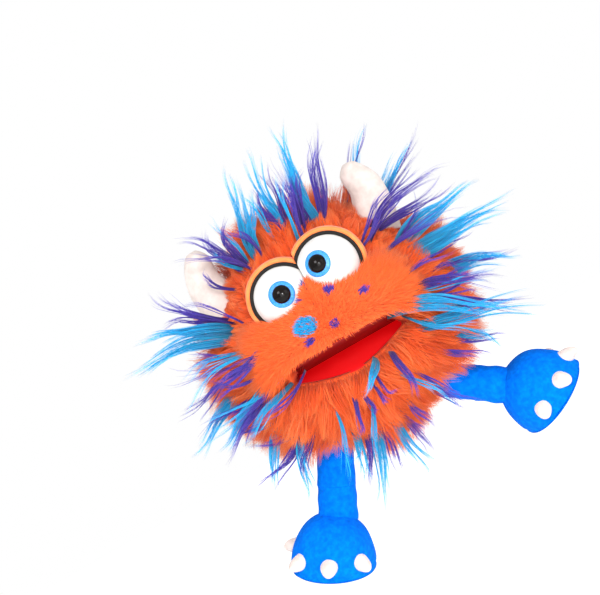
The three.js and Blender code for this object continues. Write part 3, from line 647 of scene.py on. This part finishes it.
def build_ball_fur():
    """Long orange pile over the ball, in pieces that follow the bodies underneath."""
    rng = np.random.default_rng(11)
    sphere = unit(rng.normal(size=(96000, 3)))
    roots = sphere * SKIN
    found = regions(roots)
    free = ~(found["mouth"] | found["muzzle"] | found["eyes"] | found["hand"] | in_horn(roots))
    keep = free & (near_hips(roots) > 16)
    thinned = (roots[:, 1] > 10) & (rng.random(len(roots)) < 0.55)
    keep &= ~thinned
    roots = roots[keep]
    found = {name: value[keep] for name, value in found.items()}
    n = len(roots)
    normal = unit(roots / SKIN ** 2)
    radial = unit(roots * [1, 0, 1])
    front = np.clip(-roots[:, 1] / SKIN[1], 0, 1)[:, None]
    heading = (0.62 - 0.25 * front) * normal + (0.3 + 0.75 * front) * radial
    sweep = np.array([[noise.noise(Vector(r / 26 + apart)) for apart in (0, 40, 80)] for r in roots])
    heading += sweep * 0.8
    tuft = np.array([noise.noise(Vector(r / 15 + 120)) for r in roots])
    length = rng.uniform(26, 41, n) * (1 + 0.32 * tuft)
    eye_room = found["near_eyes"]
    close = np.clip((eye_room - 2) / 22, 0, 1)
    is_front = roots[:, 1] < -10
    above = np.where(roots[:, 2] > 36, 0.3, 0.62)
    length = np.where(is_front, length * (above + (1 - above) * close), length)
    horn_room = np.hypot(np.abs(roots[:, 0]) - 68, roots[:, 2] - 48)
    by_horn = (roots[:, 2] > 18) & (horn_room < 42) & (roots[:, 1] < 8)
    length = np.where(by_horn, length * (0.2 + 0.8 * (horn_room / 42) ** 2), length)
    angle = hinge_angle(roots)
    lip = found["jaw"] & (angle > floor_angle(roots[:, 0]) - 7)
    lip_rng = np.random.default_rng(12)
    length[lip] *= lip_rng.uniform(0.5, 1.05, lip.sum())
    heading[lip] += [0, -0.1, -0.6]
    heading[lip] += lip_rng.normal(size=(lip.sum(), 3)) * [0.45, 0.15, 0.2]
    length = np.where(near_hips(roots) < 30, length * 0.72, length)
    low = (roots[:, 2] < -55) & (np.abs(roots[:, 0]) < 26)
    length = np.where(low, length * 1.12, length)
    lines, nearest = pile_lines(roots - normal * 1.0, heading, length, rng, 14, 0.28, 0.76, 0.05)
    tuft_of = nearest_guides(roots, rng, 120)
    pull = (0.6 * PILE_AT ** 2)[None, :, None]
    lines = lines * (1 - pull) + (lines[tuft_of] + (roots - roots[tuft_of])[:, None] * 0.2) * pull
    tone = rng.uniform(ORANGE_DARK + 0.05, ORANGE_LIGHT, n)
    tone = 0.3 * tone + 0.4 * tone[nearest] + 0.3 * tone[tuft_of]
    tone = np.clip(tone.mean() + (tone - tone.mean()) * 1.7, ORANGE_DARK, ORANGE_LIGHT + 0.05)
    width = rng.uniform(0.5, 0.85, n)[:, None] * PILE_TAPER
    side = np.abs(roots[:, 0])
    jaw_part = found["jaw"]
    gap_part = found["gap"] & (side < JAW_HALF)
    jowl_part = (found["jowl"] | found["gap"]) & ~jaw_part & ~gap_part
    rest = ~(jaw_part | gap_part | jowl_part)
    parts = {
        "chin_pile": jaw_part,
        "gap_pile": gap_part,
        "right_jowl_pile": jowl_part & (roots[:, 0] < 0),
        "left_jowl_pile": jowl_part & (roots[:, 0] > 0),
        "crown_pile": rest & (roots[:, 1] <= 10) & (roots[:, 2] > 25),
        "belly_pile": rest & (roots[:, 1] <= 10) & (roots[:, 2] < -45),
        "right_cheek_pile": rest & (roots[:, 1] <= 10) & (np.abs(roots[:, 2] + 10) <= 35) & (roots[:, 0] < 0),
        "left_cheek_pile": rest & (roots[:, 1] <= 10) & (np.abs(roots[:, 2] + 10) <= 35) & (roots[:, 0] > 0),
        "back_pile": rest & (roots[:, 1] > 10),
    }
    for name, chosen in parts.items():
        index = np.flatnonzero(chosen)[:MOST_STRANDS]
        obj = strand_object(name, lines[index], width[index], tone[index], FUR, rng, normal[index])
        if name == "gap_pile":
            bend(obj, "head", "jaw", [0, -14, -79], [0, -40, -68], "fur_orange")
        elif "jowl" in name:
            sign = -1 if name.startswith("right") else 1
            bend(obj, "head", "jaw", cheek(sign * (JOWL_HALF + 2)), cheek(sign * JAW_HALF), "fur_orange")
        else:
            dress(obj, "jaw" if name == "chin_pile" else "head", "fur_orange")


# ---- long dyed locks
def lock_lines(entry, rng, fibres, depth=None):
    """The fibres of one lock: they leave the skin side by side and run out into a few thin wisps."""
    dye, x0, z0, x1, z1, width, bow = entry
    flat = math.hypot(x0 / SKIN[0], z0 / SKIN[2])
    x0, z0 = x0 * min(1, 0.93 / flat), z0 * min(1, 0.93 / flat)
    flat = min(0.93, flat)
    y0 = -SKIN[1] * math.sqrt(1 - flat ** 2) if depth is None else depth
    run = np.array([x1 - x0, 0, z1 - z0], float)
    reach = np.linalg.norm(run)
    across = np.array([-run[2], 0, run[0]]) / reach
    lean = 20.0 if depth is None else -10.0
    root = np.array([x0, y0, z0], float)
    tip = np.array([x1, y0 - lean, z1], float)
    out = unit(root / SKIN ** 2)
    drift = [0, -12.0 if depth is None else 4.0, 0]
    middle = 0.75 * root + 0.25 * tip + across * bow * 1.5 + out * 24 + drift
    wisps = rng.normal(size=(6, 2)) * [reach * 0.085, reach * 0.07]
    wisps[0] *= 0.25
    reaches = np.array([1.04, 0.9, 0.78, 0.95, 0.68, 0.84])
    spread = rng.uniform(-1, 1, fibres)
    order = np.argsort(np.argsort(wisps[:, 0]))
    by_side = np.clip(((spread + rng.normal(size=fibres) * 0.25) * 0.5 + 0.5) * 6, 0, 5.99).astype(int)
    pick = np.argsort(order)[by_side]
    thick = rng.uniform(-1, 1, fibres)
    at = np.linspace(0, 1, 9)
    stop = reaches[pick] * (1 - 0.5 * rng.random(fibres) ** 2.2)
    t = at[None] * stop[:, None]
    curve = ((1 - t) ** 2)[..., None] * root + (2 * t * (1 - t))[..., None] * middle + (t ** 2)[..., None] * tip
    narrow = np.clip(1 - t, 0, 1) ** 1.1 * (0.55 + 0.6 * np.sin(math.pi * np.clip(t / 0.7, 0, 1))) * 0.5 * width
    phase = rng.uniform(0, 2 * math.pi) + rng.normal(size=6)[pick][:, None] * 0.7
    wave = np.sin(t * 7.5 + phase) * 2.6 * t
    lateral = spread[:, None] * narrow + wave + wisps[pick, 0][:, None] * t ** 2
    lateral += rng.normal(size=(fibres, 1)) * 0.9 * t ** 2
    curve += lateral[..., None] * across
    curve[..., 1] += thick[:, None] * narrow * 0.45 + wisps[pick, 1][:, None] * t ** 2
    widths = rng.uniform(0.45, 0.75, fibres)[:, None] * np.linspace(1.0, 0.22, 8)
    tones = dye + rng.uniform(-0.06, 0.05, fibres)
    return curve, widths, tones


def stray_wisps(rng, count, low, high):
    """Thin loose wisps between the big locks, at bearings from low to high degrees."""
    entries = []
    for _ in range(count):
        a = math.radians(rng.uniform(low, high))
        start, end = rng.uniform(52, 74), rng.uniform(106, 134)
        dye = PURPLE if rng.random() < 0.65 else CYAN
        turn = a + rng.normal() * 0.12
        entries.append([dye, start * math.cos(a), start * math.sin(a), end * math.cos(turn), end * math.sin(turn),
                        rng.uniform(1.8, 3.2), rng.uniform(-13, 13)])
    return entries


def lock_depth(entry):
    """Depth of the locks that grow from behind the left horn, or None for those on the front."""
    behind = entry[1] > 60 and entry[2] > 55
    return REAR_LOCK_DEPTH if behind else None


# band: how many loose wisps, and the bearings between which they grow
STRAYS = {"crown_locks": (9, 62, 128), "belly_locks": (7, 232, 300),
          "right_side_locks": (13, 150, 205), "left_side_locks": (13, -28, 42)}


def build_locks():
    rng = np.random.default_rng(23)
    for name, entries in LOCKS.items():
        entries = entries + stray_wisps(rng, *STRAYS.get(name, (0, 0, 0)))
        built = [lock_lines(e, rng, int(16 + 8.5 * e[5]), lock_depth(e)) for e in entries]
        lines, widths, tones = (np.concatenate(part) for part in zip(*built))
        obj = strand_object(name + "_fibres", lines, widths, tones, FUR, rng)
        slot = "locks_purple" if name in ("chin_locks", "belly_locks") else "locks_cyan"
        dress(obj, "jaw" if name == "chin_locks" else "head", slot, name)
    back = []
    for i in range(26):
        a = 2 * math.pi * (i + 0.3 * rng.random()) / 26
        if math.sin(a) < -0.55:
            continue
        start = rng.uniform(50, 64)
        x, z = start * math.cos(a), start * math.sin(a)
        end = start + rng.uniform(34, 46)
        entry = [CYAN if i % 2 else PURPLE, x, z, end * math.cos(a), end * math.sin(a), 6, rng.uniform(-6, 6)]
        depth = SKIN[1] * math.sqrt(max(0.05, 1 - (x / SKIN[0]) ** 2 - (z / SKIN[2]) ** 2))
        back.append(lock_lines(entry, rng, 55, depth))
    lines, widths, tones = (np.concatenate(part) for part in zip(*back))
    obj = strand_object("back_locks_fibres", lines, widths, tones, FUR, rng)
    dress(obj, "head", "locks_cyan", "back_locks")


# ---- muzzle
def build_muzzle():
    """A stuffed bulge over the upper lip, rising between the eyes, with short pile and dyed spots."""
    rng = np.random.default_rng(37)
    grid = ellipsoid_grid(MUZZLE_CENTRE, MUZZLE_RADII - PILE_LIFT, 72, 128)
    angle = hinge_angle(grid)
    low = angle < PALATE_ANGLE + 0.6
    lifted = grid.copy()
    slope = math.tan(math.radians(PALATE_ANGLE + 0.6))
    lifted[..., 2] = np.where(low, HINGE_Z + (HINGE_Y - grid[..., 1]) * slope, grid[..., 2])
    lifted = ruffle(lifted, 22, 0.7, 3)
    muzzle = loft("muzzle", lifted, MUZZLE_CLOTH)
    dress(muzzle, "head", "muzzle_fur", "muzzle_fur", "muzzle_stuffing")
    rise = ellipsoid_grid(BRIDGE_CENTRE, BRIDGE_RADII - PILE_LIFT, 32, 48)
    bridge = loft("muzzle_bridge", ruffle(rise, 18, 0.6, 5), MUZZLE_CLOTH)
    dress(bridge, "head", "muzzle_fur")
    for part, (centre, radii, count) in {
        "muzzle_pile_right": (MUZZLE_CENTRE, MUZZLE_RADII, 78000),
        "muzzle_pile_left": (MUZZLE_CENTRE, MUZZLE_RADII, 78000),
        "bridge_pile": (BRIDGE_CENTRE, BRIDGE_RADII, 16000),
    }.items():
        on = unit(rng.normal(size=(count, 3)))
        roots = centre + on * radii
        normal = unit(on / radii)
        keep = (hinge_angle(roots) > PALATE_ANGLE + 0.3) & (roots[:, 1] < -36)
        clear = np.minimum(*[np.linalg.norm(roots - e["centre"], axis=1) - e["radius"] for e in EYES.values()])
        keep &= clear > 0.2
        if part == "bridge_pile":
            keep &= inside(roots, MUZZLE_CENTRE, MUZZLE_RADII) > 1
        else:
            keep &= inside(roots, BRIDGE_CENTRE, BRIDGE_RADII) > 1
            keep &= roots[:, 0] < 0 if part == "muzzle_pile_right" else roots[:, 0] >= 0
        roots, normal = roots[keep][:MOST_STRANDS], normal[keep][:MOST_STRANDS]
        n = len(roots)
        outward = np.sign(roots[:, :1] + 2.0) * [1.0, 0, 0] * np.clip(np.abs(roots[:, :1]) / 20, 0.25, 1)
        lip = np.clip((PALATE_ANGLE + 5 - hinge_angle(roots)) / 5, 0, 1)[:, None]
        heading = 0.9 * normal + 0.6 * outward + [0, 0, 0.12] - lip * [0, 0, 1.3]
        side = np.clip((np.abs(roots[:, 0]) - 30) / 18, 0, 1)
        top = np.clip((roots[:, 2] - 8) / 14, 0, 1)
        length = rng.uniform(3.6, 5.6, n) * (1 + 3.0 * side ** 1.5 + 0.6 * top + 0.5 * lip[:, 0])
        lines, _ = pile_lines(roots - normal * 0.6, heading, length, rng, 10, 0.2, 0.3)
        seen = 0.4 * lines[:, 2] + 0.6 * lines[:, 3]
        tone = rng.uniform(0.36, 0.5, n)
        for x, z, half_width, half_height, dye in SPOTS:
            wobble = rng.normal(size=n) * 0.08
            spot = np.hypot((seen[:, 0] - x) / half_width, (seen[:, 2] - z) / half_height) + wobble < 1
            tone = np.where(spot, dye + rng.uniform(-0.04, 0.03, n), tone)
        width = rng.uniform(0.44, 0.66, n)[:, None] * np.array([1.0, 0.85, 0.55])
        dress(strand_object(part, lines, width, tone, FUR, rng, normal), "head", "muzzle_fur")


# ---- eyes
def keep_side(points, sign, gap=0.2):
    """Both eyes are pressed together on the middle plane."""
    points = points.copy()
    points[..., 0] = np.maximum(points[..., 0] * sign, gap) * sign
    return points


def build_eye(name, eye):
    centre, radius, sign = eye["centre"], eye["radius"], eye["sign"]
    ball = ellipsoid_grid(centre, np.full(3, radius), 56, 96)
    white = loft(name + "_eye", keep_side(ball, sign), WHITE)
    dress(white, "head", "eye_white", name + "_eye_white")
    turn = rotation("z", eye["yaw"]) @ rotation("x", -eye["pitch"])

    def cap(profile, sides=64):
        """Rings round the line of sight from (distance from it, height along it)."""
        a = circle(sides)
        rings = [np.stack([r * np.cos(a), np.full(sides, -h), r * np.sin(a)], -1) for r, h in profile]
        return np.array(rings) @ turn.T + centre

    def on_ball(distance, lift):
        return (distance, math.sqrt((radius + lift) ** 2 - distance ** 2))

    steps = np.linspace(0.2, IRIS_RADIUS, 9)
    front = [on_ball(d, 0.55) for d in steps]
    back = [on_ball(d, -0.4) for d in reversed(steps)]
    iris = loft(name + "_iris_disc", cap(front + [on_ball(IRIS_RADIUS + 0.15, 0.2)] + back), IRIS)
    dress(iris, "head", "iris", name + "_iris")
    base = on_ball(PUPIL_RADIUS, 0.4)[1]
    falls = np.radians(np.linspace(88, 0, 16))
    dome = [(PUPIL_RADIUS * math.cos(a), base + PUPIL_HEIGHT * math.sin(a)) for a in falls]
    seat = [(PUPIL_RADIUS - 0.2, base - 0.6), (0.2, base - 0.6)]
    pupil = loft(name + "_pupil_dome", cap(dome + seat), GLOSS)
    dress(pupil, "head", "pupil", name + "_pupil")
    build_lid(name, eye)


def build_lid(name, eye):
    """A soft hood round the upper part of the eye, edged with cord."""
    centre, radius, sign = eye["centre"], eye["radius"], eye["sign"]
    lid_in, lid_out = radius + 0.3, radius + 4.6
    section = []
    for y in np.linspace(-LID_FRONT, LID_REAR, 9):
        section.append((math.sqrt(lid_out ** 2 - y ** 2), y))
    for y in np.linspace(LID_REAR, -LID_FRONT + 0.8, 8):
        section.append((math.sqrt(lid_in ** 2 - y ** 2), y))
    low = math.asin(-LID_DROP / lid_out)
    sweep = np.linspace(low, math.pi - low, 72)
    rings = np.array([[[r * math.cos(a), y, r * math.sin(a)] for r, y in section] for a in sweep]) + centre
    lid = loft(name + "_lid", keep_side(ruffle(rings, 16, 0.35, 7), sign), LID)
    dress(lid, "head", "eyelid", name + "_eyelid")
    edge = math.sqrt((radius + 0.9) ** 2 - (LID_FRONT + 1.0) ** 2)
    turn = circle(14)
    cord = []
    for a in sweep:
        out = np.array([math.cos(a), 0, math.sin(a)])
        at = centre + out * edge + [0, -LID_FRONT - 1.0, 0]
        cord.append([at + 1.6 * (math.cos(t) * out + math.sin(t) * np.array([0, 1, 0])) for t in turn])
    piping = loft(name + "_piping", keep_side(np.array(cord), sign, 0.1), PIPING)
    dress(piping, "head", "eyelid_piping", name + "_eyelid_piping")


# ---- mouth
def flap(angle, reach, drop, thickness):
    """A half oval flap that starts at the hinge, as (outer, inner) grids."""
    rows = np.linspace(0, 1, 40)
    across = np.linspace(-1, 1, 49)
    top = np.zeros((40, 49, 3))
    for i, v in enumerate(rows):
        past = max(0.0, (v - STRAIGHT_SHARE) / (1 - STRAIGHT_SHARE))
        wide = math.sqrt(max(1e-4, 1 - past ** 2))
        for j, u in enumerate(across):
            x, d = u * wide * MOUTH_HALF, v * reach
            top[i, j] = on_ray(x, d, math.radians(angle))
            top[i, j, 2] += drop * (1 - (u * wide) ** 2) * math.sin(math.pi * v)
    return top, top - np.array([0, 0, 1.0]) * thickness


def build_mouth():
    every = np.ones((39, 48), bool)
    # the palate's darker red is painted shade over the lining's own red
    palate = shell("palate", *flap(PALATE_ANGLE, PALATE_REACH, 1.5, PALATE_THICKNESS), every, PAINTED_SHADE_RED)
    dress(palate, "head", "mouth_lining", "palate_cloth")
    # the floor cloth's glow is painted light over its own red
    floor_cloth = shell("mouth_floor", *flap(FLOOR_ANGLE, FLOOR_REACH, -1.2, 1.0), every, GLOWING_FLOOR_RED)
    dress(floor_cloth, "jaw", "mouth_lining", "mouth_floor_cloth")
    for name, sign in (("right", -1), ("left", 1)):
        depth = np.linspace(0, 1, 24)
        height = np.linspace(0, 1, 12)
        outer = np.zeros((24, 12, 3))
        for i, d in enumerate(depth):
            for j, h in enumerate(height):
                angle = math.radians(FLOOR_ANGLE + (PALATE_ANGLE - FLOOR_ANGLE) * h)
                bulge = math.sin(math.pi * h) * d
                outer[i, j] = on_ray(sign * (MOUTH_HALF - 0.5 + bulge), d * CORNER_REACH, angle)
        # the mouth corners take the darker red as painted shade
        web = shell(name + "_mouth_corner", outer + [sign, 0, 0], outer, np.ones((23, 11), bool), PAINTED_SHADE_RED)
        bend(web, "head", "jaw", [0, -30, -17], [0, -30, -36], "mouth_lining")


# ---- horns
def build_horn(name, sign):
    rows = np.linspace(0, 1, 40)
    key = np.linspace(0, 1, len(HORN_PATH))
    x, z, half = (smooth(rows, key, HORN_PATH[:, i]) for i in range(3))
    half[-8:] *= np.sqrt(1 - np.linspace(0, 0.985, 8) ** 2) * 0.4 + 0.6 * (1 - np.linspace(0, 1, 8) ** 3)
    around = circle(48)
    rings = []
    for i in range(40):
        step = [x[min(i + 1, 39)] - x[max(i - 1, 0)], z[min(i + 1, 39)] - z[max(i - 1, 0)]]
        tangent = np.array([step[0], 0, step[1]]) / np.hypot(*step)
        across = np.array([tangent[2], 0, -tangent[0]])
        r = max(half[i], 0.3)
        seam = 1 - 0.035 * np.exp(-((np.abs(np.cos(around)) - 1) / 0.01) ** 2)
        centre = [x[i], HORN_Y, z[i]]
        ring = [centre + r * s * (math.cos(a) * across) + [0, r * s * HORN_FLATTENING * math.sin(a), 0]
                for a, s in zip(around, seam)]
        rings.append(ring)
    rings = np.array(rings) * [sign, 1, 1]
    horn = loft(name + "_horn_plush", ruffle(rings, 14, 0.7, 9 + sign), HORN)
    dress(horn, "head", "horn_plush", name + "_horn")


def smooth(at, key, values):
    """Cubic interpolation through key values."""
    slope = np.gradient(values, key)
    i = np.clip(np.searchsorted(key, at) - 1, 0, len(key) - 2)
    h = key[i + 1] - key[i]
    t = (at - key[i]) / h
    a, b = 2 * t ** 3 - 3 * t ** 2 + 1, t ** 3 - 2 * t ** 2 + t
    return a * values[i] + b * h * slope[i] + (1 - a) * values[i + 1] + (t ** 3 - t ** 2) * h * slope[i + 1]


# ---- legs and feet
def build_leg(name, leg):
    sign = leg["sign"]
    hip = HIP * [sign, 1, 1]
    turn = rotation("y", -sign * leg["splay"])
    down = turn @ np.array([0, 0, -1.0])
    length = leg["length"]

    def tube(part, start, end, seed):
        """A length of the stuffed tube with soft creases, along the leg."""
        rows = np.linspace(start, end, 40)
        around = circle(56)
        rings = []
        for s in rows:
            share = np.clip(s / length, 0, 1)
            r = (LEG_TOP_RADIUS + (ANKLE_RADIUS - LEG_TOP_RADIUS) * share) * leg["plump"]
            edge = min(s - start, end - s) / 1.6
            r *= 0.5 + 0.5 * math.sqrt(1 - (1 - min(edge, 1)) ** 2)
            lobes = 0.4 + 0.6 * np.cos(around + seed) ** 2
            crease = 0.3 * np.sin(0.42 * s + 1.8 * np.sin(around + seed)) * lobes
            rings.append([hip + turn @ np.array([(r + c) * math.cos(a), (r + c) * math.sin(a), -s])
                          for a, c in zip(around, crease)])
        return loft(f"{name}_{part}", ruffle(np.array(rings), 15, 0.35, seed), BLUE)

    joint = hip + down * SPLAY_DROP
    ankle = hip + down * length
    middle = 0.5 * (SPLAY_DROP + length) + 2
    upper = tube("leg_root", -12, 9, 1)
    bend(upper, "head", name + "_hip", hip - down * 7, hip + down * 5, "leg_plush", name + "_hip_gusset")
    knee = tube("leg_upper", 5, middle, 2)
    bend(knee, name + "_hip", name + "_leg", joint - down * 7, joint + down * 9, "leg_plush",
         name + "_leg_skin", name + "_leg_stuffing")
    shin = tube("leg_lower", middle - 3, length + 8, 3)
    bend(shin, name + "_leg", name + "_foot", ankle - down * 8, ankle + down * 3, "leg_plush")
    build_foot(name, leg, ankle)


def build_foot(name, leg, ankle):
    sign = leg["sign"]
    turn = rotation("y", -sign * leg["foot_splay"]) @ rotation("x", 12) @ rotation("z", sign * leg["yaw"])
    centre = np.array([sign * leg["foot_out"], FOOT_BACK, FOOT_DROP])
    bearings = {key: math.radians(a) for key, (a, _) in CLAWS.items()}
    rows = np.linspace(0, 1, 44)
    around = circle(120)
    rings = []
    for v in rows:
        lift = v * math.pi / 2
        ring = []
        for a in around:
            toe = np.array([sign * math.sin(a), -math.cos(a)])
            swell = 0.0
            for key in ("inner", "middle", "outer"):
                away = (a - bearings[key] + math.pi) % (2 * math.pi) - math.pi
                swell += 0.045 * math.exp(-(away / 0.30) ** 2)
            r = math.cos(lift) ** 0.82 * (1 + swell * math.cos(lift))
            pucker = 1 - 0.03 * math.exp(-((v - 0.03) / 0.03) ** 2)
            ring.append(centre + [toe[0] * FOOT_RADII[0] * r * pucker, toe[1] * FOOT_RADII[1] * r * pucker,
                                  FOOT_RADII[2] * math.sin(lift)])
        rings.append(ring)
    local = ruffle(np.array(rings), 20, 0.9, 13 + sign)
    foot = loft(name + "_foot", local @ turn.T + ankle, BLUE)
    dress(foot, name + "_foot", "leg_plush", name + "_foot_upper", name + "_foot_stuffing")
    sole = []
    edge = [(0.05, -40.6), (0.94, -40.6), (0.985, -41.2),
            (0.97, -42.0), (0.9, SOLE_BOTTOM), (0.05, SOLE_BOTTOM)]
    for scale, z in edge:
        sole.append([[centre[0] + sign * math.sin(a) * FOOT_RADII[0] * scale,
                      centre[1] - math.cos(a) * FOOT_RADII[1] * scale, z + 0.25] for a in around])
    under = loft(name + "_sole_pad", np.array(sole) @ turn.T + ankle, SOLE)
    dress(under, name + "_foot", "leg_plush", name + "_foot_sole")
    for key, (degrees, share) in CLAWS.items():
        a = math.radians(degrees)
        out = np.array([sign * math.sin(a) * FOOT_RADII[0], -math.cos(a) * FOOT_RADII[1], 0])
        level = math.sqrt(1 - (CLAW_HEIGHT / FOOT_RADII[2]) ** 2)
        seat = centre + out * level * share + [0, 0, CLAW_HEIGHT]
        axis = unit(out / np.linalg.norm(out) + np.array([0, 0, -0.15]))
        side = unit(np.cross(axis, [0, 0, 1.0]))
        up = np.cross(side, axis)
        rings = []
        for t in np.linspace(0, 1, 26):
            r = CLAW_RADIUS * 1.1 * (1 - t ** 2.6) ** 0.6
            r = max(r, 0.15)
            at = seat + axis * (-6 + t * (CLAW_LENGTH + 7)) - up * 1.5 * t ** 2
            rings.append([at + r * (math.cos(b) * side + 0.9 * math.sin(b) * up)
                          for b in circle(32)])
        local = ruffle(np.array(rings), 7, 0.45, 21 + degrees * 0.1)
        claw = loft(f"{name}_{key}_claw_plush", local @ turn.T + ankle, CLAW)
        dress(claw, name + "_foot", "claw_plush", f"{name}_{key}_claw")


# ---- hand opening
def build_hand_opening():
    around = circle(96)

    def oval(y, grow, wrinkle):
        extra = grow + wrinkle * np.sin(9 * around + 0.12 * y) * 0.5
        across = (HAND_HALF_WIDTH + extra) * np.cos(around)
        high = HAND_Z + (HAND_HALF_HEIGHT + extra) * np.sin(around)
        return np.stack([across, np.full(96, float(y)), high], -1)

    rows = np.linspace(30, 77, 30)
    outer = np.array([oval(y, 0.0, 0.5) for y in rows])
    inner = np.array([oval(y, -1.0, 0.5) for y in rows])
    sleeve = shell("hand_lining", outer, inner, np.ones((29, 96), bool), LINING, wrap=True)
    dress(sleeve, "head", "lining", "hand_sleeve")
    section = circle(16)
    rings = []
    for a in np.linspace(0, 2 * math.pi, 121):
        stitch = 1 + 0.06 * math.cos(60 * a)
        ring = [[(50.5 + 2.2 * stitch * math.cos(s)) * math.cos(a), 78.6 + 2.2 * stitch * math.sin(s),
                 -25 + (33.5 + 2.2 * stitch * math.cos(s)) * math.sin(a)] for s in section]
        rings.append(ring)
    points = np.array(rings[:-1]).reshape(-1, 3)
    faces = []
    for i in range(120):
        here, there = i * 16, (i + 1) % 120 * 16
        faces += [[here + j, here + (j + 1) % 16, there + (j + 1) % 16, there + j] for j in range(16)]
    hem = mesh_object("hem_roll", points, faces, LINING)
    dress(hem, "head", "lining", "sleeve_hem")


# ---- CAD nodes that stay
def finish_nodes():
    """The boards, pockets and washers keep their CAD shape under the fur and get their own finish."""
    looks = {"mouth_board": BOARD, "pocket": LINING, "washer": BOARD}
    for node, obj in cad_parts.items():
        look = next((m for key, m in looks.items() if key in node), FIBRE)
        obj.data.materials.clear()
        obj.data.materials.append(look)


# ---- stage
def build_stage():
    floor_mesh = bpy.data.meshes.new("studio_floor")
    corners = [(x, y, FLOOR_LEVEL) for x, y in ((-6, -6), (6, -6), (6, 6), (-6, 6))]
    floor_mesh.from_pydata(corners, [], [[0, 1, 2, 3]])
    nodes = Nodes("studio_white")
    shade = nodes.ramp(nodes.noise(0.5), [(0.0, "#F6F6F6"), (1.0, "#FAFAFA")])
    nodes.link(shade, nodes.shader.inputs["Base Color"])
    nodes.shader.inputs["Emission Color"].default_value = (1, 1, 1, 1)
    floor_mesh.materials.append(nodes.finish(0.9, Emission_Strength=0.55))
    add_object("studio_floor", floor_mesh)
    bpy.context.scene.view_settings.view_transform = "Standard"
    world = bpy.data.worlds.new("studio")
    bpy.context.scene.world = world
    world.use_nodes = True
    tree = world.node_tree
    seen = tree.nodes.new("ShaderNodeLightPath").outputs["Is Camera Ray"]
    strength = tree.nodes.new("ShaderNodeMapRange")
    strength.inputs["To Min"].default_value = AMBIENT
    strength.inputs["To Max"].default_value = 1.0
    tree.links.new(seen, strength.inputs["Value"])
    tree.nodes["Background"].inputs["Color"].default_value = (1, 1, 1, 1)
    tree.links.new(strength.outputs["Result"], tree.nodes["Background"].inputs["Strength"])
    for name, place, size, power in LAMPS:
        light = bpy.data.lights.new(name, "AREA")
        light.energy = power
        light.size = size
        lamp = add_object(name, light)
        lamp.location = place
        lamp.rotation_euler = (Vector((0, -0.1, 0.02)) - Vector(place)).to_track_quat("-Z", "Y").to_euler()


def build_camera():
    """A level view of the front with the camera rolled, so that the puppet leans to its own right."""
    target = Vector((-0.0107, -0.14, 0.054))
    azimuth, elevation, distance, roll = math.radians(3), math.radians(1.5), 1.5, math.radians(30)
    away = Vector((math.sin(azimuth) * math.cos(elevation), -math.cos(azimuth) * math.cos(elevation),
                   math.sin(elevation)))
    up = Vector((math.sin(roll), 0, math.cos(roll)))
    z = away.normalized()
    x = up.cross(z).normalized()
    y = z.cross(x)
    data = bpy.data.cameras.new("camera")
    data.lens, data.sensor_width = 120, 36
    camera = add_object("camera", data)
    place = target + away * distance
    camera.matrix_world = Matrix([[x[i], y[i], z[i], place[i]] for i in range(3)] + [[0, 0, 0, 1]])
    bpy.context.scene.camera = camera


build_skins()
build_gussets()
build_ball_fur()
build_locks()
build_muzzle()
for eye_name, eye_values in EYES.items():
    build_eye(eye_name, eye_values)
build_mouth()
for horn_name, horn_sign in (("right", -1), ("left", 1)):
    build_horn(horn_name, horn_sign)
for leg_name, leg_values in LEGS.items():
    build_leg(leg_name, leg_values)
build_hand_opening()
finish_nodes()
build_stage()
build_camera()
